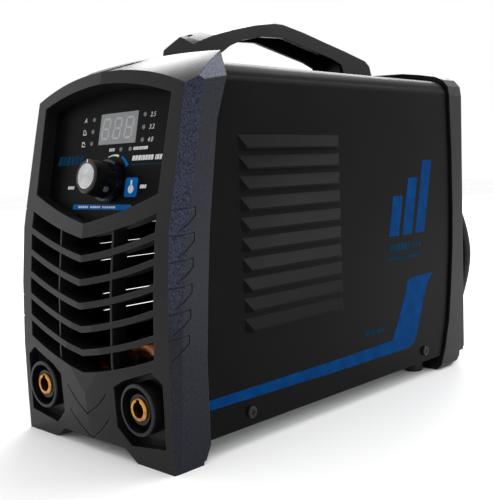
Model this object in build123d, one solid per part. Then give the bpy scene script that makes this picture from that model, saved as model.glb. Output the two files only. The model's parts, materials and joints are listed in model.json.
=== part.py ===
from build123d import *
import math
import os

# Stick welding inverter, millimetres. The origin is on the floor under the middle of the machine:
# +Z is up, the front faces -Y, and X = 0 is the plane of symmetry of the case.

# ---------------------------------------------------------------- driving dimensions
LENGTH = 334.0            # keel of the front bezel to the rim of the rear bezel
COVER_W = 146.0           # over the sheet-metal cover
COVER_TOP = 235.0         # top of the cover above the floor
COVER_BOTTOM = 12.3       # lower edge of the cover above the floor
SHEET = 1.2               # cover and tray sheet
COVER_BEND = 12.0         # outer radius of the cover's top bends
EDGE_SLOPE = 0.29         # lean of the cover's upper front edge, run over rise
BEZEL_LAP = 2.0           # how far a bezel's lip stands out from the cover
LIP_GAP = 0.2             # clearance between a bezel's lip and the cover
WALL = 3.0                # moulded plastic wall

PANEL_LEAN = 12.3         # lean of the control panel, degrees
PANEL_DROP = 47.8         # top of the cover down to the control panel's centre
PANEL_SET = 21.8          # face plane at that height, behind the keel
PANEL_HALF_TOP = 63.7     # half width of the panel recess, top
PANEL_HALF_LOW = 62.2     # half width of the panel recess, bottom
PANEL_HALF_TALL = 29.1    # centre to the recess corners
PANEL_PEAK = 38.8         # centre to the peak of the recess
PANEL_V = 47.9            # centre to the point of the recess's V
PANEL_DEEP = 10.0         # face plane to the panel plate
PLATE_T = 1.5             # panel plate
PLATE_GAP = 0.15          # plate to recess wall
LAYOUT_X = 4.5            # middle of the display and knob

WINDOW_W = 38.0           # display window
WINDOW_H = 20.0
WINDOW_V = 14.2           # window centre above the panel's centre
MODULE_W = 37.6           # three-digit display module
MODULE_H = 19.0
MODULE_T = 8.0
LED_R = 1.5               # 3 mm indicator lamps
LED_SIDE = 25.6           # lamps beside the window, from its centre
LED_PITCH = 7.8
KNOB_V = -19.5            # knob axis below the panel's centre
KNOB_R = 13.0             # skirt radius
KNOB_GRIP_R = 11.0
KNOB_TALL = 18.0
KNOB_FLUTES = 24
CAP_R = 7.9               # turned metal cap in the knob's face
SHAFT_R = 3.0
PUSH = 0.6                # travel of the knob's push switch
FIT = 0.05                # radial clearance of a running fit
THREAD_GAP = 0.02         # radial clearance of a screwed or pressed fit
SEAT_GAP = 0.05           # clearance between faces that are clamped together

GRILLE_HALF = 63.15       # half width of the air slots
GRILLE_LOW = 65.5         # outer lower corner of the bottom slot
GRILLE_GAP = 10.8         # panel recess to the top slot
GRILLE_DROP = 15.5        # drop of each chevron at the centre
GRILLE_SLOTS = 6
BAR_T = 4.0               # chevron bar thickness
BAR_DEEP = 14.0
RIB_X = 26.7              # upright ribs behind the bars
RIB_T = 1.5

SOCKET_X = 48.85          # output sockets
SOCKET_Z = 34.5
SOCKET_R = 15.5           # insulator ring
SOCKET_BODY_R = 12.5
SOCKET_FRONT = 3.0        # ring's front face behind the keel
SOCKET_FLOOR = 14.0       # recess floor behind the keel
CONTACT_R = 7.0           # brass contact
CONTACT_BORE_R = 4.75
CONTACT_BORE_DEEP = 32.0

FOOT_OUT = 74.5           # bezel feet, outer and inner edges
FOOT_IN = 42.0
BELLY = 7.5               # bezel's lower edge between its feet

LOUVRES = 10
LOUVRE_PITCH = 12.4
LOUVRE_LONG = 99.0
LOUVRE_START = 70.5       # first end of the louvres behind the keel
LOUVRE_OUT = 3.0
LOUVRE_TALL = 8.5

HANDLE_HALF = 15.0
HANDLE_WALL = 3.0
SCREW_R = 2.0             # M4 screws
SCREW_HEAD_R = 3.8
SCREW_HEAD_T = 2.0

FAN = 120.0               # fan frame square
FAN_T = 25.0
FAN_UP = 124.0            # fan axis above the floor
FAN_LIP = 2.5             # frame between the fan's bore and its sides
FAN_TIP_GAP = 1.5         # blade tips to the bore
FAN_HUB_R = 20.0
FAN_HOLE_IN = 7.5         # screw holes in from the frame's sides
REAR_WALL = 6.8           # rear wall's outer face, in from the rim
SWITCH_X = 38.0
GLAND_X = -4.0
SWITCH_DROP = 28.0        # top of the cover down to the switch and the gland

CORD_R = 4.0              # mains cord
COIL_A = 61.0             # half axes of the coil's middle line
COIL_B = 81.0
COIL_THICK = 18.0         # bundle of turns, across
COIL_LEAN = 6.0           # the coil leans on the rear rim, degrees

# ---------------------------------------------------------------- places worked out from them
FRONT = -LENGTH / 2
REAR = LENGTH / 2
HALF = COVER_W / 2
PANEL_UP = COVER_TOP - PANEL_DROP
SWITCH_UP = COVER_TOP - SWITCH_DROP
GLAND_UP = SWITCH_UP
FAN_BORE_R = FAN / 2 - FAN_LIP
FAN_BLADE_R = FAN_BORE_R - FAN_TIP_GAP
FAN_HOLE = FAN - 2 * FAN_HOLE_IN
PANEL_LOW = PANEL_UP - PANEL_HALF_TALL * math.cos(math.radians(PANEL_LEAN))
SIDE = HALF + BEZEL_LAP
COVER_START = FRONT + 28.0
COVER_BREAK = PANEL_LOW - 21.0        # above this height the cover's front edge leans back
WALL_OUT = REAR - REAR_WALL
WALL_IN = WALL_OUT - WALL
COVER_END = WALL_IN - 0.3
TRAY_TOP = COVER_BOTTOM + 0.7 + SHEET


# ---------------------------------------------------------------- helpers
def block(x0, x1, y0, y1, z0, z1):
    """Box between two corners."""
    return Pos((x0 + x1) / 2, (y0 + y1) / 2, (z0 + z1) / 2) * Box(x1 - x0, y1 - y0, z1 - z0)


def outline(*steps):
    """Closed face: (x, y) draws a line there, (x, y, mx, my) draws an arc through (mx, my)."""
    edges = []
    here = steps[0][:2]
    for step in steps[1:] + (steps[0],):
        there = step[:2]
        if len(step) == 4 and step is not steps[0]:
            edges.append(Edge.make_three_point_arc((*here, 0), (*step[2:], 0), (*there, 0)))
        elif (Vector(*here) - Vector(*there)).length > 1e-6:
            edges.append(Edge.make_line((*here, 0), (*there, 0)))
        here = there
    face = Face(Wire(edges))
    return face if face.normal_at().Z > 0 else -face


def along_x(face, x0, x1):
    """Face drawn in (y, z), extruded from x0 to x1."""
    return extrude(Plane.YZ.offset(x0) * face, amount=x1 - x0)


def along_y(face, y0, y1):
    """Face drawn in (x, z), extruded from y0 to y1."""
    return extrude(Plane.XZ.offset(-y1) * face, amount=y1 - y0)


def along_z(face, z0, z1):
    return extrude(Plane.XY.offset(z0) * face, amount=z1 - z0)


def rod_y(x, z, r, y0, y1):
    return Pos(x, (y0 + y1) / 2, z) * Rot(90, 0, 0) * Cylinder(r, y1 - y0)


def rod_x(y, z, r, x0, x1):
    return Pos((x0 + x1) / 2, y, z) * Rot(0, 90, 0) * Cylinder(r, x1 - x0)


def rod_z(x, y, r, z0, z1):
    return Pos(x, y, (z0 + z1) / 2) * Cylinder(r, z1 - z0)


def mirrored(points):
    """Right half of an outline, bottom to top, closed by its mirror image."""
    return list(points) + [(-x, y) for x, y in reversed(points)]


def screw(grip, head_r=SCREW_HEAD_R, head_t=SCREW_HEAD_T, r=SCREW_R):
    """Pan-head screw, head on the XY plane pointing up, shank down to -grip."""
    head = Pos(0, 0, head_t / 2) * Cylinder(head_r, head_t)
    head = fillet(head.edges().group_by(Axis.Z)[-1], head_t * 0.45)
    cross = Box(head_r, 0.9, 1.2) + Box(0.9, head_r, 1.2)
    return head + Pos(0, 0, -grip / 2) * Cylinder(r, grip) - Pos(0, 0, head_t) * cross


def save(name, shape):
    solids = shape.solids() if not isinstance(shape, list) else [s for part in shape for s in part.solids()]
    out = solids[0] if len(solids) == 1 else Compound(children=list(solids))
    out.label = name
    export_step(out, os.path.join("parts", name + ".step"))


os.makedirs("parts", exist_ok=True)

# ---------------------------------------------------------------- front bezel
# Levels of the moulding: height, then depth behind the keel plane of the keel, of the face's edge and of
# the widest line of the side, with the half widths of those two, and the depth of the rear lip.
LEVELS = [
    (0.0, 7.0, 7.5, 12.0, FOOT_OUT, SIDE, 36.0),
    (22.0, 3.0, 7.0, 14.0, FOOT_OUT, SIDE, 36.0),
    (60.0, 0.0, 6.8, 15.5, FOOT_OUT, SIDE + 1.0, 36.0),
    (PANEL_LOW - 58.0, 1.9, 8.6, 18.0, FOOT_OUT, SIDE + 2.8, 39.0),
    (PANEL_LOW - 21.0, 6.9, 12.0, 22.0, FOOT_OUT - 0.2, SIDE + 3.0, 42.5),
    (PANEL_LOW + 41.0, 20.6, 25.2, 36.0, FOOT_OUT - 0.8, SIDE + 2.6, 52.0),
    (PANEL_LOW + 90.0, 31.5, 36.0, 48.0, FOOT_OUT - 1.4, SIDE + 1.4, 70.0),
]


def bezel_form(inset, rear=0.0):
    """Faceted outer form of the front bezel, or its inside when inset is the wall."""
    rings = []
    for z, keel, edge, wide, edge_x, wide_x, lip in LEVELS:
        right = [(edge_x - inset, FRONT + edge + inset), (wide_x - inset, FRONT + wide + inset * 0.6),
                 (SIDE - inset, FRONT + lip + rear)]
        ring = [(0, FRONT + keel + inset)] + right + [(-x, y) for x, y in reversed(right)]
        rings.append(Plane.XY.offset(z) * Wire.make_polygon([(x, y, 0) for x, y in ring], close=True))
    return Solid.make_loft(rings, ruled=True)


ROOF_EDGE, ROOF_PEAK = COVER_TOP - 15.0, COVER_TOP - 1.5     # front arch of the roof
LIP_EDGE, LIP_PEAK = COVER_TOP + 3.5, COVER_TOP + 8.0        # rear arch of the roof
ROOF_FRONT, ROOF_REAR = FRONT + 29.0, FRONT + 63.0


def roof(drop=0.0):
    """Everything under the bezel's sloping arched roof, lowered by the wall for its inside."""
    rings = []
    reach = SIDE + 12.0
    for part in (-0.8, 1.2):
        y = ROOF_FRONT + part * (ROOF_REAR - ROOF_FRONT)
        peak = ROOF_PEAK + part * (LIP_PEAK - ROOF_PEAK) - drop
        edge = ROOF_EDGE + part * (LIP_EDGE - ROOF_EDGE) - drop
        low = edge - (peak - edge) * ((reach / 72.0) ** 2 - 1)
        face = outline((-reach, -5), (reach, -5), (reach, low), (-reach, low, 0, peak))
        rings.append(Plane.XZ.offset(-y) * face)
    return loft(rings, ruled=True)


def shoulder(drop=0.0):
    """Front-view outline of the case: feet, raised belly and chamfered top shoulders."""
    right = [(FOOT_IN - 10.5, BELLY), (FOOT_IN, -0.01), (SIDE + 6, -0.01), (SIDE + 6, COVER_TOP - 20),
             (SIDE + 1.5 - drop, COVER_TOP - 12), (SIDE - 9 - drop, COVER_TOP + 4.5 - drop),
             (SIDE - 14 - drop, COVER_TOP + 12 - drop)]
    return along_y(outline(*mirrored(right)), FRONT - 5, FRONT + 90)


def cover_space(gap, y0, y1, bottom=COVER_BOTTOM):
    """Outer form of the cover grown by a gap: what the bezels' lips close round."""
    half, top, bend = HALF + gap, COVER_TOP + gap, COVER_BEND + gap
    k = bend * (1 - math.sqrt(0.5))
    face = outline((-half, bottom), (half, bottom), (half, top - bend),
                   (half - bend, top, half - k, top - k), (-half + bend, top),
                   (-half, top - bend, -half + k, top - k))
    lean = (COVER_TOP - COVER_BREAK) * EDGE_SLOPE
    slanted = outline((y0, bottom - 9), (y0, COVER_BREAK), (y0 + lean, COVER_TOP), (y0 + lean, COVER_TOP + 9),
                      (y1, COVER_TOP + 9), (y1, bottom - 9))
    return along_y(face, y0, y1) & along_x(slanted, -half - 9, half + 9)


PANEL = Plane(origin=(0, FRONT + PANEL_SET, PANEL_UP), x_dir=(1, 0, 0),
              z_dir=(0, -math.cos(math.radians(PANEL_LEAN)), math.sin(math.radians(PANEL_LEAN))))


def on_panel(shape):
    """Moves a shape from the panel's own frame, z outwards from the face plane, into the machine."""
    return PANEL.location * shape


def panel_outline(grow):
    """Recess outline in the panel's frame: a wide V below and a shallow arch above."""
    top, low = PANEL_HALF_TOP + grow, PANEL_HALF_LOW + grow
    half, v, peak = PANEL_HALF_TALL + grow, PANEL_V + grow, PANEL_PEAK + grow
    sag = 1.6
    return outline((0, -v), (low, -half, low / 2, -(v + half) / 2 - sag), (top, half),
                   (-top, half, 0, peak), (-low, -half), (0, -v, -low / 2, -(v + half) / 2 - sag))


def chevron(z_end, thick, half=GRILLE_HALF):
    """Shallow V with slightly bowed legs, thick below z_end."""
    mid = z_end - GRILLE_DROP
    bow = GRILLE_DROP / 2 + 1.6
    return outline((half, z_end), (0, mid, half / 2, z_end - bow), (-half, z_end, -half / 2, z_end - bow),
                   (-half, z_end - thick), (0, mid - thick, -half / 2, z_end - bow - thick),
                   (half, z_end - thick, half / 2, z_end - bow - thick))


GRILLE_TOP = PANEL_LOW - GRILLE_GAP
GRILLE_PITCH = (GRILLE_TOP - GRILLE_LOW + BAR_T) / GRILLE_SLOTS
RECESS = [(69.0, 14.0), (69.0, 52.0), (60.5, 58.0), (36.5, 50.0), (27.5, 45.0), (27.5, 20.0), (38.5, 10.5)]

form = bezel_form(0) & roof() & shoulder()
inside = bezel_form(WALL, 40.0) & roof(WALL) & shoulder(WALL)
inside = inside & block(-SIDE, SIDE, FRONT, FRONT + 90, COVER_BOTTOM - 0.5, COVER_TOP + 20)
bezel = form - inside - cover_space(LIP_GAP, COVER_START - 0.5, FRONT + 90, COVER_BOTTOM - 0.5)

# panel recess: a tub behind the face, then the recess and its openings
tub = on_panel(Pos(0, 0, -PANEL_DEEP - PLATE_T - WALL) * extrude(panel_outline(WALL), amount=60))
bezel += (tub & form) - on_panel(Pos(0, 0, -PANEL_DEEP - PLATE_T) * extrude(panel_outline(0), amount=60))
bezel -= on_panel(Pos(0, 0, -PANEL_DEEP - PLATE_T) * extrude(panel_outline(0), amount=60))
bezel -= on_panel(Pos(LAYOUT_X, WINDOW_V, -20) * Box(WINDOW_W, WINDOW_H, 40))

# air slots with chevron bars and two upright ribs
skin_back = Pos(0, BAR_DEEP, 0) * form
skin = form - skin_back
opening = along_y(chevron(GRILLE_TOP, GRILLE_TOP - GRILLE_LOW), FRONT - 5, FRONT + 60)
liner = along_y(offset(chevron(GRILLE_TOP, GRILLE_TOP - GRILLE_LOW), 2.0, kind=Kind.INTERSECTION),
                FRONT - 5, FRONT + 60) & skin
bezel = bezel + liner - opening
for n in range(1, GRILLE_SLOTS):
    bar = chevron(GRILLE_TOP - n * GRILLE_PITCH + BAR_T, BAR_T, GRILLE_HALF + 0.5)
    bezel += along_y(bar, FRONT - 5, FRONT + 60) & skin
rib_skin = (Pos(0, 1.2, 0) * form) - (Pos(0, BAR_DEEP - 2, 0) * form)
for side in (-1, 1):
    x = side * RIB_X
    rib = block(x - RIB_T / 2, x + RIB_T / 2, FRONT - 5, FRONT + 60, GRILLE_LOW - 14, GRILLE_TOP - 2)
    bezel += rib & rib_skin

# socket recesses, their floors and the holes for the insulators
for side in (-1, 1):
    recess = outline(*[(side * x, z) for x, z in RECESS])
    pocket = along_y(recess, FRONT - 5, FRONT + SOCKET_FLOOR)
    wall = along_y(offset(recess, 2.2, kind=Kind.INTERSECTION), FRONT - 5, FRONT + SOCKET_FLOOR + WALL) & form
    bezel = bezel + wall - pocket
    bezel -= rod_y(side * SOCKET_X, SOCKET_Z, SOCKET_BODY_R + FIT, FRONT, FRONT + 60)

# shallow chevron grooves on the middle of the skirt, and grooves that mark pads on the side bevels
for z in (40.0, 24.0):
    groove = along_y(chevron(z, 1.2, 20.0), FRONT - 5, FRONT + 60)
    bezel -= groove & (form - Pos(0, 0.9, 0) * form)
for n in range(GRILLE_SLOTS):
    z = GRILLE_TOP + 2.0 - n * GRILLE_PITCH
    y = FRONT + 12.0 + max(0.0, (z - 80.0) * 0.12)
    line = outline((y - 6, z), (y + 10, z + 1.2), (y + 10, z - 4.1), (y - 3, z - 12.8), (y - 3, z - 11.6),
                   (y + 9, z - 3.6), (y + 9, z + 0.2), (y - 6, z - 1.0))
    cut = along_x(line, 60, 90) & (form - Pos(-0.7, 0, 0) * form)
    bezel -= cut + mirror(cut, Plane.YZ)

# scoop in the roof, chamfered feet, and bosses for the tray screws
scoop = outline((-8.5, COVER_TOP + 12), (8.5, COVER_TOP + 12), (5.5, COVER_TOP - 2), (-5.5, COVER_TOP - 2))
bezel -= along_y(scoop, FRONT + 20, FRONT + 58) - Pos(0, 0, -4) * roof()
heel = outline((FRONT + 30, -1), (FRONT + 30, 2.0), (FRONT + 32, 2.6), (FRONT + 36.5, COVER_BOTTOM - 0.5),
               (FRONT + 60, COVER_BOTTOM - 0.5), (FRONT + 60, -1))
bezel -= along_x(heel, -90, 90)
TRAY_FRONT = FRONT + 38.0
BOSS_X, BOSS_Z = 20.0, TRAY_TOP + 11.0
for side in (-1, 1):
    bezel += rod_y(side * BOSS_X, BOSS_Z, 4.5, FRONT + 6, TRAY_FRONT)
    bezel -= rod_y(side * BOSS_X, BOSS_Z, SCREW_R, TRAY_FRONT - 12, TRAY_FRONT + 1)
lamps = [(LAYOUT_X + side * LED_SIDE, WINDOW_V + row * LED_PITCH - 0.9)
         for side in (-1, 1) for row in (1, 0, -1)]
lamps += [(LAYOUT_X + dx, 0.5) for dx in (5.8, 14.9)]
for u, v in lamps:
    bezel -= on_panel(Pos(u, v, -20) * Cylinder(LED_R + 0.1, 40))
bezel -= on_panel(Pos(LAYOUT_X, KNOB_V, -20) * Cylinder(4.5 + 0.1, 40))
save("front_bezel", bezel)

# ---------------------------------------------------------------- control panel
PLATE_BACK = -PANEL_DEEP - PLATE_T
FLOOR_BACK = PLATE_BACK - WALL
plate = Pos(0, 0, PLATE_BACK) * extrude(panel_outline(-PLATE_GAP), amount=PLATE_T)
plate -= Pos(LAYOUT_X, WINDOW_V, PLATE_BACK) * Box(WINDOW_W, WINDOW_H, 10)
plate -= Pos(LAYOUT_X, KNOB_V, PLATE_BACK) * Cylinder(3.5 + FIT, 10)
for u, v in lamps:
    plate -= Pos(u, v, PLATE_BACK) * Cylinder(LED_R + 0.1, 10)
save("control_panel_plate", on_panel(plate))

window = Pos(LAYOUT_X, WINDOW_V, -PANEL_DEEP - 0.3 - 1.0) * Box(WINDOW_W - 0.2, WINDOW_H - 0.2, 2.0)
save("display_window", on_panel(window))

PCB_FRONT = FLOOR_BACK - MODULE_T - 0.1
module = Pos(LAYOUT_X, WINDOW_V, FLOOR_BACK - 0.05 - MODULE_T / 2) * Box(MODULE_W, MODULE_H, MODULE_T)
save("display_module", on_panel(module))

lamp_solids = []
for u, v in lamps:
    tip = -PANEL_DEEP + 0.4
    lens = Pos(u, v, (tip + PCB_FRONT) / 2) * Cylinder(LED_R, tip - PCB_FRONT)
    lamp_solids.append(on_panel(fillet(lens.edges().group_by(Axis.Z)[-1], 0.6)))
save("indicator_lamps", lamp_solids)

PCB_T = 1.6
PCB_TOP_V, PCB_LOW_V = 27.0, -33.0
PCB_MID_V = (PCB_TOP_V + PCB_LOW_V) / 2
board = Pos(LAYOUT_X, PCB_MID_V, PCB_FRONT - PCB_T / 2) * Box(86, PCB_TOP_V - PCB_LOW_V, PCB_T)
PCB_SCREWS = [(LAYOUT_X + sx * 39, v) for sx in (-1, 1) for v in (23.0, -24.0)]
posts = []
for u, v in PCB_SCREWS:
    board -= Pos(u, v, PCB_FRONT) * Cylinder(1.6, 10)
save("control_board", on_panel(board))
for u, v in PCB_SCREWS:
    post = Pos(u, v, (FLOOR_BACK + PCB_FRONT) / 2) * Cylinder(3.2, FLOOR_BACK - PCB_FRONT)
    posts.append(on_panel(post - Pos(u, v, PCB_FRONT) * Cylinder(1.5, 12)))
save("board_spacers", posts)
board_screws = [on_panel(Pos(u, v, PCB_FRONT - PCB_T) * Rot(180, 0, 0) * screw(6.5, 2.8, 1.6, 1.45))
                for u, v in PCB_SCREWS]

# rotary encoder with push switch: body on the board, threaded bush through the plate, nut in front
AXIS = Pos(LAYOUT_X, KNOB_V, 0)
BODY_FRONT = FLOOR_BACK - 0.1
BUSH_R = 3.5
BUSH_TIP = -PANEL_DEEP + 3.5
PLUNGER_T = 1.0
PLUNGER_R = 3.9
PLUNGER_PLAY = 0.1        # plunger to the end of the shaft
CAVITY_GAP = 0.3          # plunger to the walls of its space in the body
CAVITY_DEEP = PLUNGER_T + PUSH + 2 * CAVITY_GAP
CAVITY_FRONT = PCB_FRONT + CAVITY_DEEP + 0.4
body = Pos(0, 0, (BODY_FRONT + PCB_FRONT) / 2) * Box(12, 13, BODY_FRONT - PCB_FRONT)
body += Pos(0, 0, (BUSH_TIP + BODY_FRONT) / 2) * Cylinder(BUSH_R, BUSH_TIP - BODY_FRONT)
body -= Pos(0, 0, (BUSH_TIP + CAVITY_FRONT) / 2) * Cylinder(SHAFT_R + FIT, BUSH_TIP - CAVITY_FRONT + 1)
body -= Pos(0, 0, CAVITY_FRONT + CAVITY_GAP - CAVITY_DEEP / 2) * Cylinder(PLUNGER_R + CAVITY_GAP, CAVITY_DEEP)
save("encoder_body", on_panel(AXIS * body))
nut = extrude(RegularPolygon(5.5, 6), amount=2.0) - Cylinder(BUSH_R + THREAD_GAP, 10)
save("encoder_nut", on_panel(AXIS * Pos(0, 0, -PANEL_DEEP + 0.05) * nut))
plunger = Pos(0, 0, CAVITY_FRONT - PLUNGER_PLAY - PLUNGER_T / 2) * Cylinder(PLUNGER_R, PLUNGER_T)
save("encoder_plunger", on_panel(AXIS * plunger))
SHAFT_TIP = -PANEL_DEEP + 14.0
shaft = Pos(0, 0, (SHAFT_TIP + CAVITY_FRONT) / 2) * Cylinder(SHAFT_R, SHAFT_TIP - CAVITY_FRONT)
save("encoder_shaft", on_panel(AXIS * shaft))

# knob: skirt, fluted grip, turned cap set in its face, and a slotted set screw
KNOB_BACK = -PANEL_DEEP + 1.4
KNOB_FACE = KNOB_BACK + KNOB_TALL
grip = Pos(0, 0, KNOB_BACK) * extrude(Circle(KNOB_R), amount=4.0)
grip += loft([Pos(0, 0, KNOB_BACK + 4) * Circle(KNOB_GRIP_R + 0.6),
              Pos(0, 0, KNOB_FACE) * Circle(KNOB_GRIP_R - 0.6)])
grip = chamfer(grip.edges().group_by(Axis.Z)[-1], 0.8)
flute = Pos(KNOB_GRIP_R + 0.55, 0, KNOB_BACK + 12) * Cylinder(0.8, 15)
grip -= Part() + [Rot(0, 0, n * 360 / KNOB_FLUTES) * flute for n in range(KNOB_FLUTES)]
grip -= Pos(0, 0, KNOB_BACK) * Cylinder(7.2, 2 * 3.2)
grip -= Pos(0, 0, (KNOB_BACK + SHAFT_TIP) / 2) * Cylinder(SHAFT_R, SHAFT_TIP - KNOB_BACK)
CAP_T = 1.6
grip -= Pos(0, 0, KNOB_FACE - CAP_T / 2 + 0.3) * Cylinder(CAP_R, CAP_T)
SET_Z = KNOB_BACK + 8.5
SET_TURN = Rot(0, 0, -37)
grip -= SET_TURN * Pos((SHAFT_R + KNOB_R) / 2, 0, SET_Z) * Rot(0, 90, 0) * Cylinder(1.9, KNOB_R - SHAFT_R + 1)
save("knob", on_panel(AXIS * grip))
cap = Pos(0, 0, KNOB_FACE - CAP_T / 2 + 0.3) * Cylinder(CAP_R, CAP_T)
save("knob_cap", on_panel(AXIS * chamfer(cap.edges().group_by(Axis.Z)[-1], 0.3)))
SET_OUT = KNOB_GRIP_R + 0.3
setscrew = Pos((SHAFT_R + SET_OUT) / 2, 0, SET_Z) * Rot(0, 90, 0) * Cylinder(1.9, SET_OUT - SHAFT_R)
setscrew -= Pos(SET_OUT, 0, SET_Z) * Box(1.4, 0.7, 5)
save("knob_set_screw", on_panel(AXIS * SET_TURN * setscrew))

# ---------------------------------------------------------------- output sockets and busbars
SOCKET_NUT_T = 6.0
WALL_BACK = FRONT + SOCKET_FLOOR + WALL
CONTACT_BACK = FRONT + 50.0
STUD_R = 5.0
STUD_END = FRONT + 66.0
BAR_FRONT = CONTACT_BACK + SEAT_GAP
PCB_UNDER = TRAY_TOP + 8.0
POWER_TOP = PCB_UNDER + PCB_T
nuts, straps = [], []
for side, name in ((-1, "left"), (1, "right")):
    x = side * SOCKET_X
    ring = rod_y(x, SOCKET_Z, SOCKET_R, FRONT + SOCKET_FRONT, FRONT + SOCKET_FLOOR)
    ring = fillet(ring.edges().group_by(Axis.Y)[0], 1.0)
    ring += rod_y(x, SOCKET_Z, SOCKET_BODY_R, FRONT + SOCKET_FLOOR - 1, FRONT + 40)
    ring -= rod_y(x, SOCKET_Z, SOCKET_R - 2.2, FRONT + SOCKET_FRONT - 1, FRONT + SOCKET_FLOOR - 1.5)
    ring += rod_y(x, SOCKET_Z, CONTACT_R + 2.2, FRONT + SOCKET_FRONT + 2.5, FRONT + SOCKET_FLOOR)
    ring -= rod_y(x, SOCKET_Z, CONTACT_R, FRONT, FRONT + 60)
    save(f"socket_insulator_{name}", ring)
    contact = rod_y(x, SOCKET_Z, CONTACT_R, FRONT + SOCKET_FRONT + 1.0, CONTACT_BACK)
    contact = chamfer(contact.edges().group_by(Axis.Y)[0], 0.6)
    contact += rod_y(x, SOCKET_Z, STUD_R, CONTACT_BACK - 1, STUD_END)
    contact -= rod_y(x, SOCKET_Z, CONTACT_BORE_R, FRONT, FRONT + SOCKET_FRONT + 1.0 + CONTACT_BORE_DEEP)
    key_top = SOCKET_Z + CONTACT_R - 0.9
    contact -= block(x - 1.6, x + 1.6, FRONT, FRONT + SOCKET_FRONT + 9, SOCKET_Z + 3, key_top)
    save(f"socket_contact_{name}", contact)
    ring_nut = extrude(RegularPolygon(17.0, 6), amount=SOCKET_NUT_T - SEAT_GAP)
    ring_nut = Pos(x, WALL_BACK + SEAT_GAP, SOCKET_Z) * Rot(-90, 0, 0) * ring_nut
    nuts.append(ring_nut - rod_y(x, SOCKET_Z, SOCKET_BODY_R + THREAD_GAP, FRONT, FRONT + 60))
    stud_nut = extrude(RegularPolygon(7.5, 6), amount=6.0)
    stud_nut = Pos(x, BAR_FRONT + 3.05, SOCKET_Z) * Rot(-90, 0, 0) * stud_nut
    nuts.append(stud_nut - rod_y(x, SOCKET_Z, STUD_R + THREAD_GAP, FRONT, FRONT + 90))
    strap = block(x - 9, x + 9, BAR_FRONT, BAR_FRONT + 3, POWER_TOP, SOCKET_Z + 9)
    strap += block(x - 9, x + 9, BAR_FRONT, BAR_FRONT + 40, POWER_TOP, POWER_TOP + 3)
    straps.append(strap - rod_y(x, SOCKET_Z, STUD_R + 0.1, BAR_FRONT - 1, BAR_FRONT + 4))
save("socket_nuts", nuts)
save("output_busbars", straps)

# ---------------------------------------------------------------- tray, cover and their screws
TRAY_HALF = HALF - SHEET - 0.15
TRAY_REAR = WALL_IN - 0.2
tray = block(-TRAY_HALF, TRAY_HALF, TRAY_FRONT + 0.1, TRAY_REAR, TRAY_TOP - SHEET, TRAY_TOP)
for side in (-1, 1):
    inner, outer = sorted((side * (TRAY_HALF - SHEET), side * TRAY_HALF))
    tray += block(inner, outer, TRAY_FRONT + 0.1, TRAY_REAR, TRAY_TOP, TRAY_TOP + 18)
tray += block(-32, 32, TRAY_FRONT + 0.1, TRAY_FRONT + 0.1 + SHEET, TRAY_TOP, TRAY_TOP + 18)
tray += block(-60, 60, TRAY_REAR - SHEET, TRAY_REAR, TRAY_TOP, TRAY_TOP + 18)
SIDE_SCREWS = [FRONT + 73.0, REAR - 59.5]
SIDE_SCREW_Z = 21.0
for y in SIDE_SCREWS:
    tray -= rod_x(y, SIDE_SCREW_Z, SCREW_R + THREAD_GAP, -90, 90)
FEET = [(side * 54.0, REAR - 46.0) for side in (-1, 1)]
for side in (-1, 1):
    tray -= rod_y(side * BOSS_X, BOSS_Z, SCREW_R + 0.15, TRAY_FRONT - 1, TRAY_FRONT + 3)
    tray -= rod_y(side * 55.0, BOSS_Z, SCREW_R + THREAD_GAP, TRAY_REAR - 3, TRAY_REAR + 1)
POWER_SCREWS = [(sx * 57.0, y) for sx in (-1, 1) for y in (FRONT + 100.0, REAR - 74.0)]
for x, y in FEET + POWER_SCREWS:
    tray -= rod_z(x, y, 1.6, TRAY_TOP - 5, TRAY_TOP + 5)
EARTH = (-30.0, BOSS_Z)
EARTH_R = 3.0
tray -= rod_y(*EARTH, EARTH_R + FIT, TRAY_REAR - 3, TRAY_REAR + 1)
save("base_tray", tray)

cover = cover_space(0, COVER_START, COVER_END)
cover -= cover_space(-SHEET, COVER_START - 1, COVER_END + 1, 0.0)
LOUVRE_TOP = COVER_TOP - 52.5
LOUVRE_Y0 = FRONT + LOUVRE_START
LOUVRE_Y1 = LOUVRE_Y0 + LOUVRE_LONG


def hood(inset):
    """Pressed louvre on the right side: a hood that leans out downwards, ends tapered in."""
    out, tall, end = LOUVRE_OUT - inset, LOUVRE_TALL - inset, 5.0 + inset
    profile = along_y(outline((HALF - SHEET, 0), (HALF + out, 0), (HALF + out, SHEET), (HALF - inset, tall),
                              (HALF - SHEET, tall)), LOUVRE_Y0, LOUVRE_Y1)
    plan = along_z(outline((HALF - 5, LOUVRE_Y0 + inset), (HALF, LOUVRE_Y0 + inset),
                           (HALF + out, LOUVRE_Y0 + end), (HALF + out, LOUVRE_Y1 - end),
                           (HALF, LOUVRE_Y1 - inset), (HALF - 5, LOUVRE_Y1 - inset)), -1, 20)
    return profile & plan


hood_out, hood_in = hood(0.0), Pos(0, 0, -0.01) * hood(1.0)
for n in range(LOUVRES):
    z = LOUVRE_TOP - n * LOUVRE_PITCH
    shell = Pos(0, 0, z) * hood_out
    hollow = Pos(0, 0, z) * hood_in
    cover = cover + shell + mirror(shell, Plane.YZ) - hollow - mirror(hollow, Plane.YZ)
for y in SIDE_SCREWS:
    cover -= rod_x(y, SIDE_SCREW_Z, SCREW_R + 0.2, -90, 90)
HANDLE_SCREWS = [(x, FRONT + depth) for depth in (103.0, 280.0) for x in (-7.0, 7.0)]
for x, y in HANDLE_SCREWS:
    cover -= rod_z(x, y, SCREW_R + 0.15, COVER_TOP - 5, COVER_TOP + 5)
save("cover", cover)
cover_screws = []
for y in SIDE_SCREWS:
    for side in (-1, 1):
        cover_screws.append(Pos(side * (HALF + 0.02), y, SIDE_SCREW_Z) * Rot(0, 90 * side, 0) * screw(6.0))
save("cover_screws", cover_screws)
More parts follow.
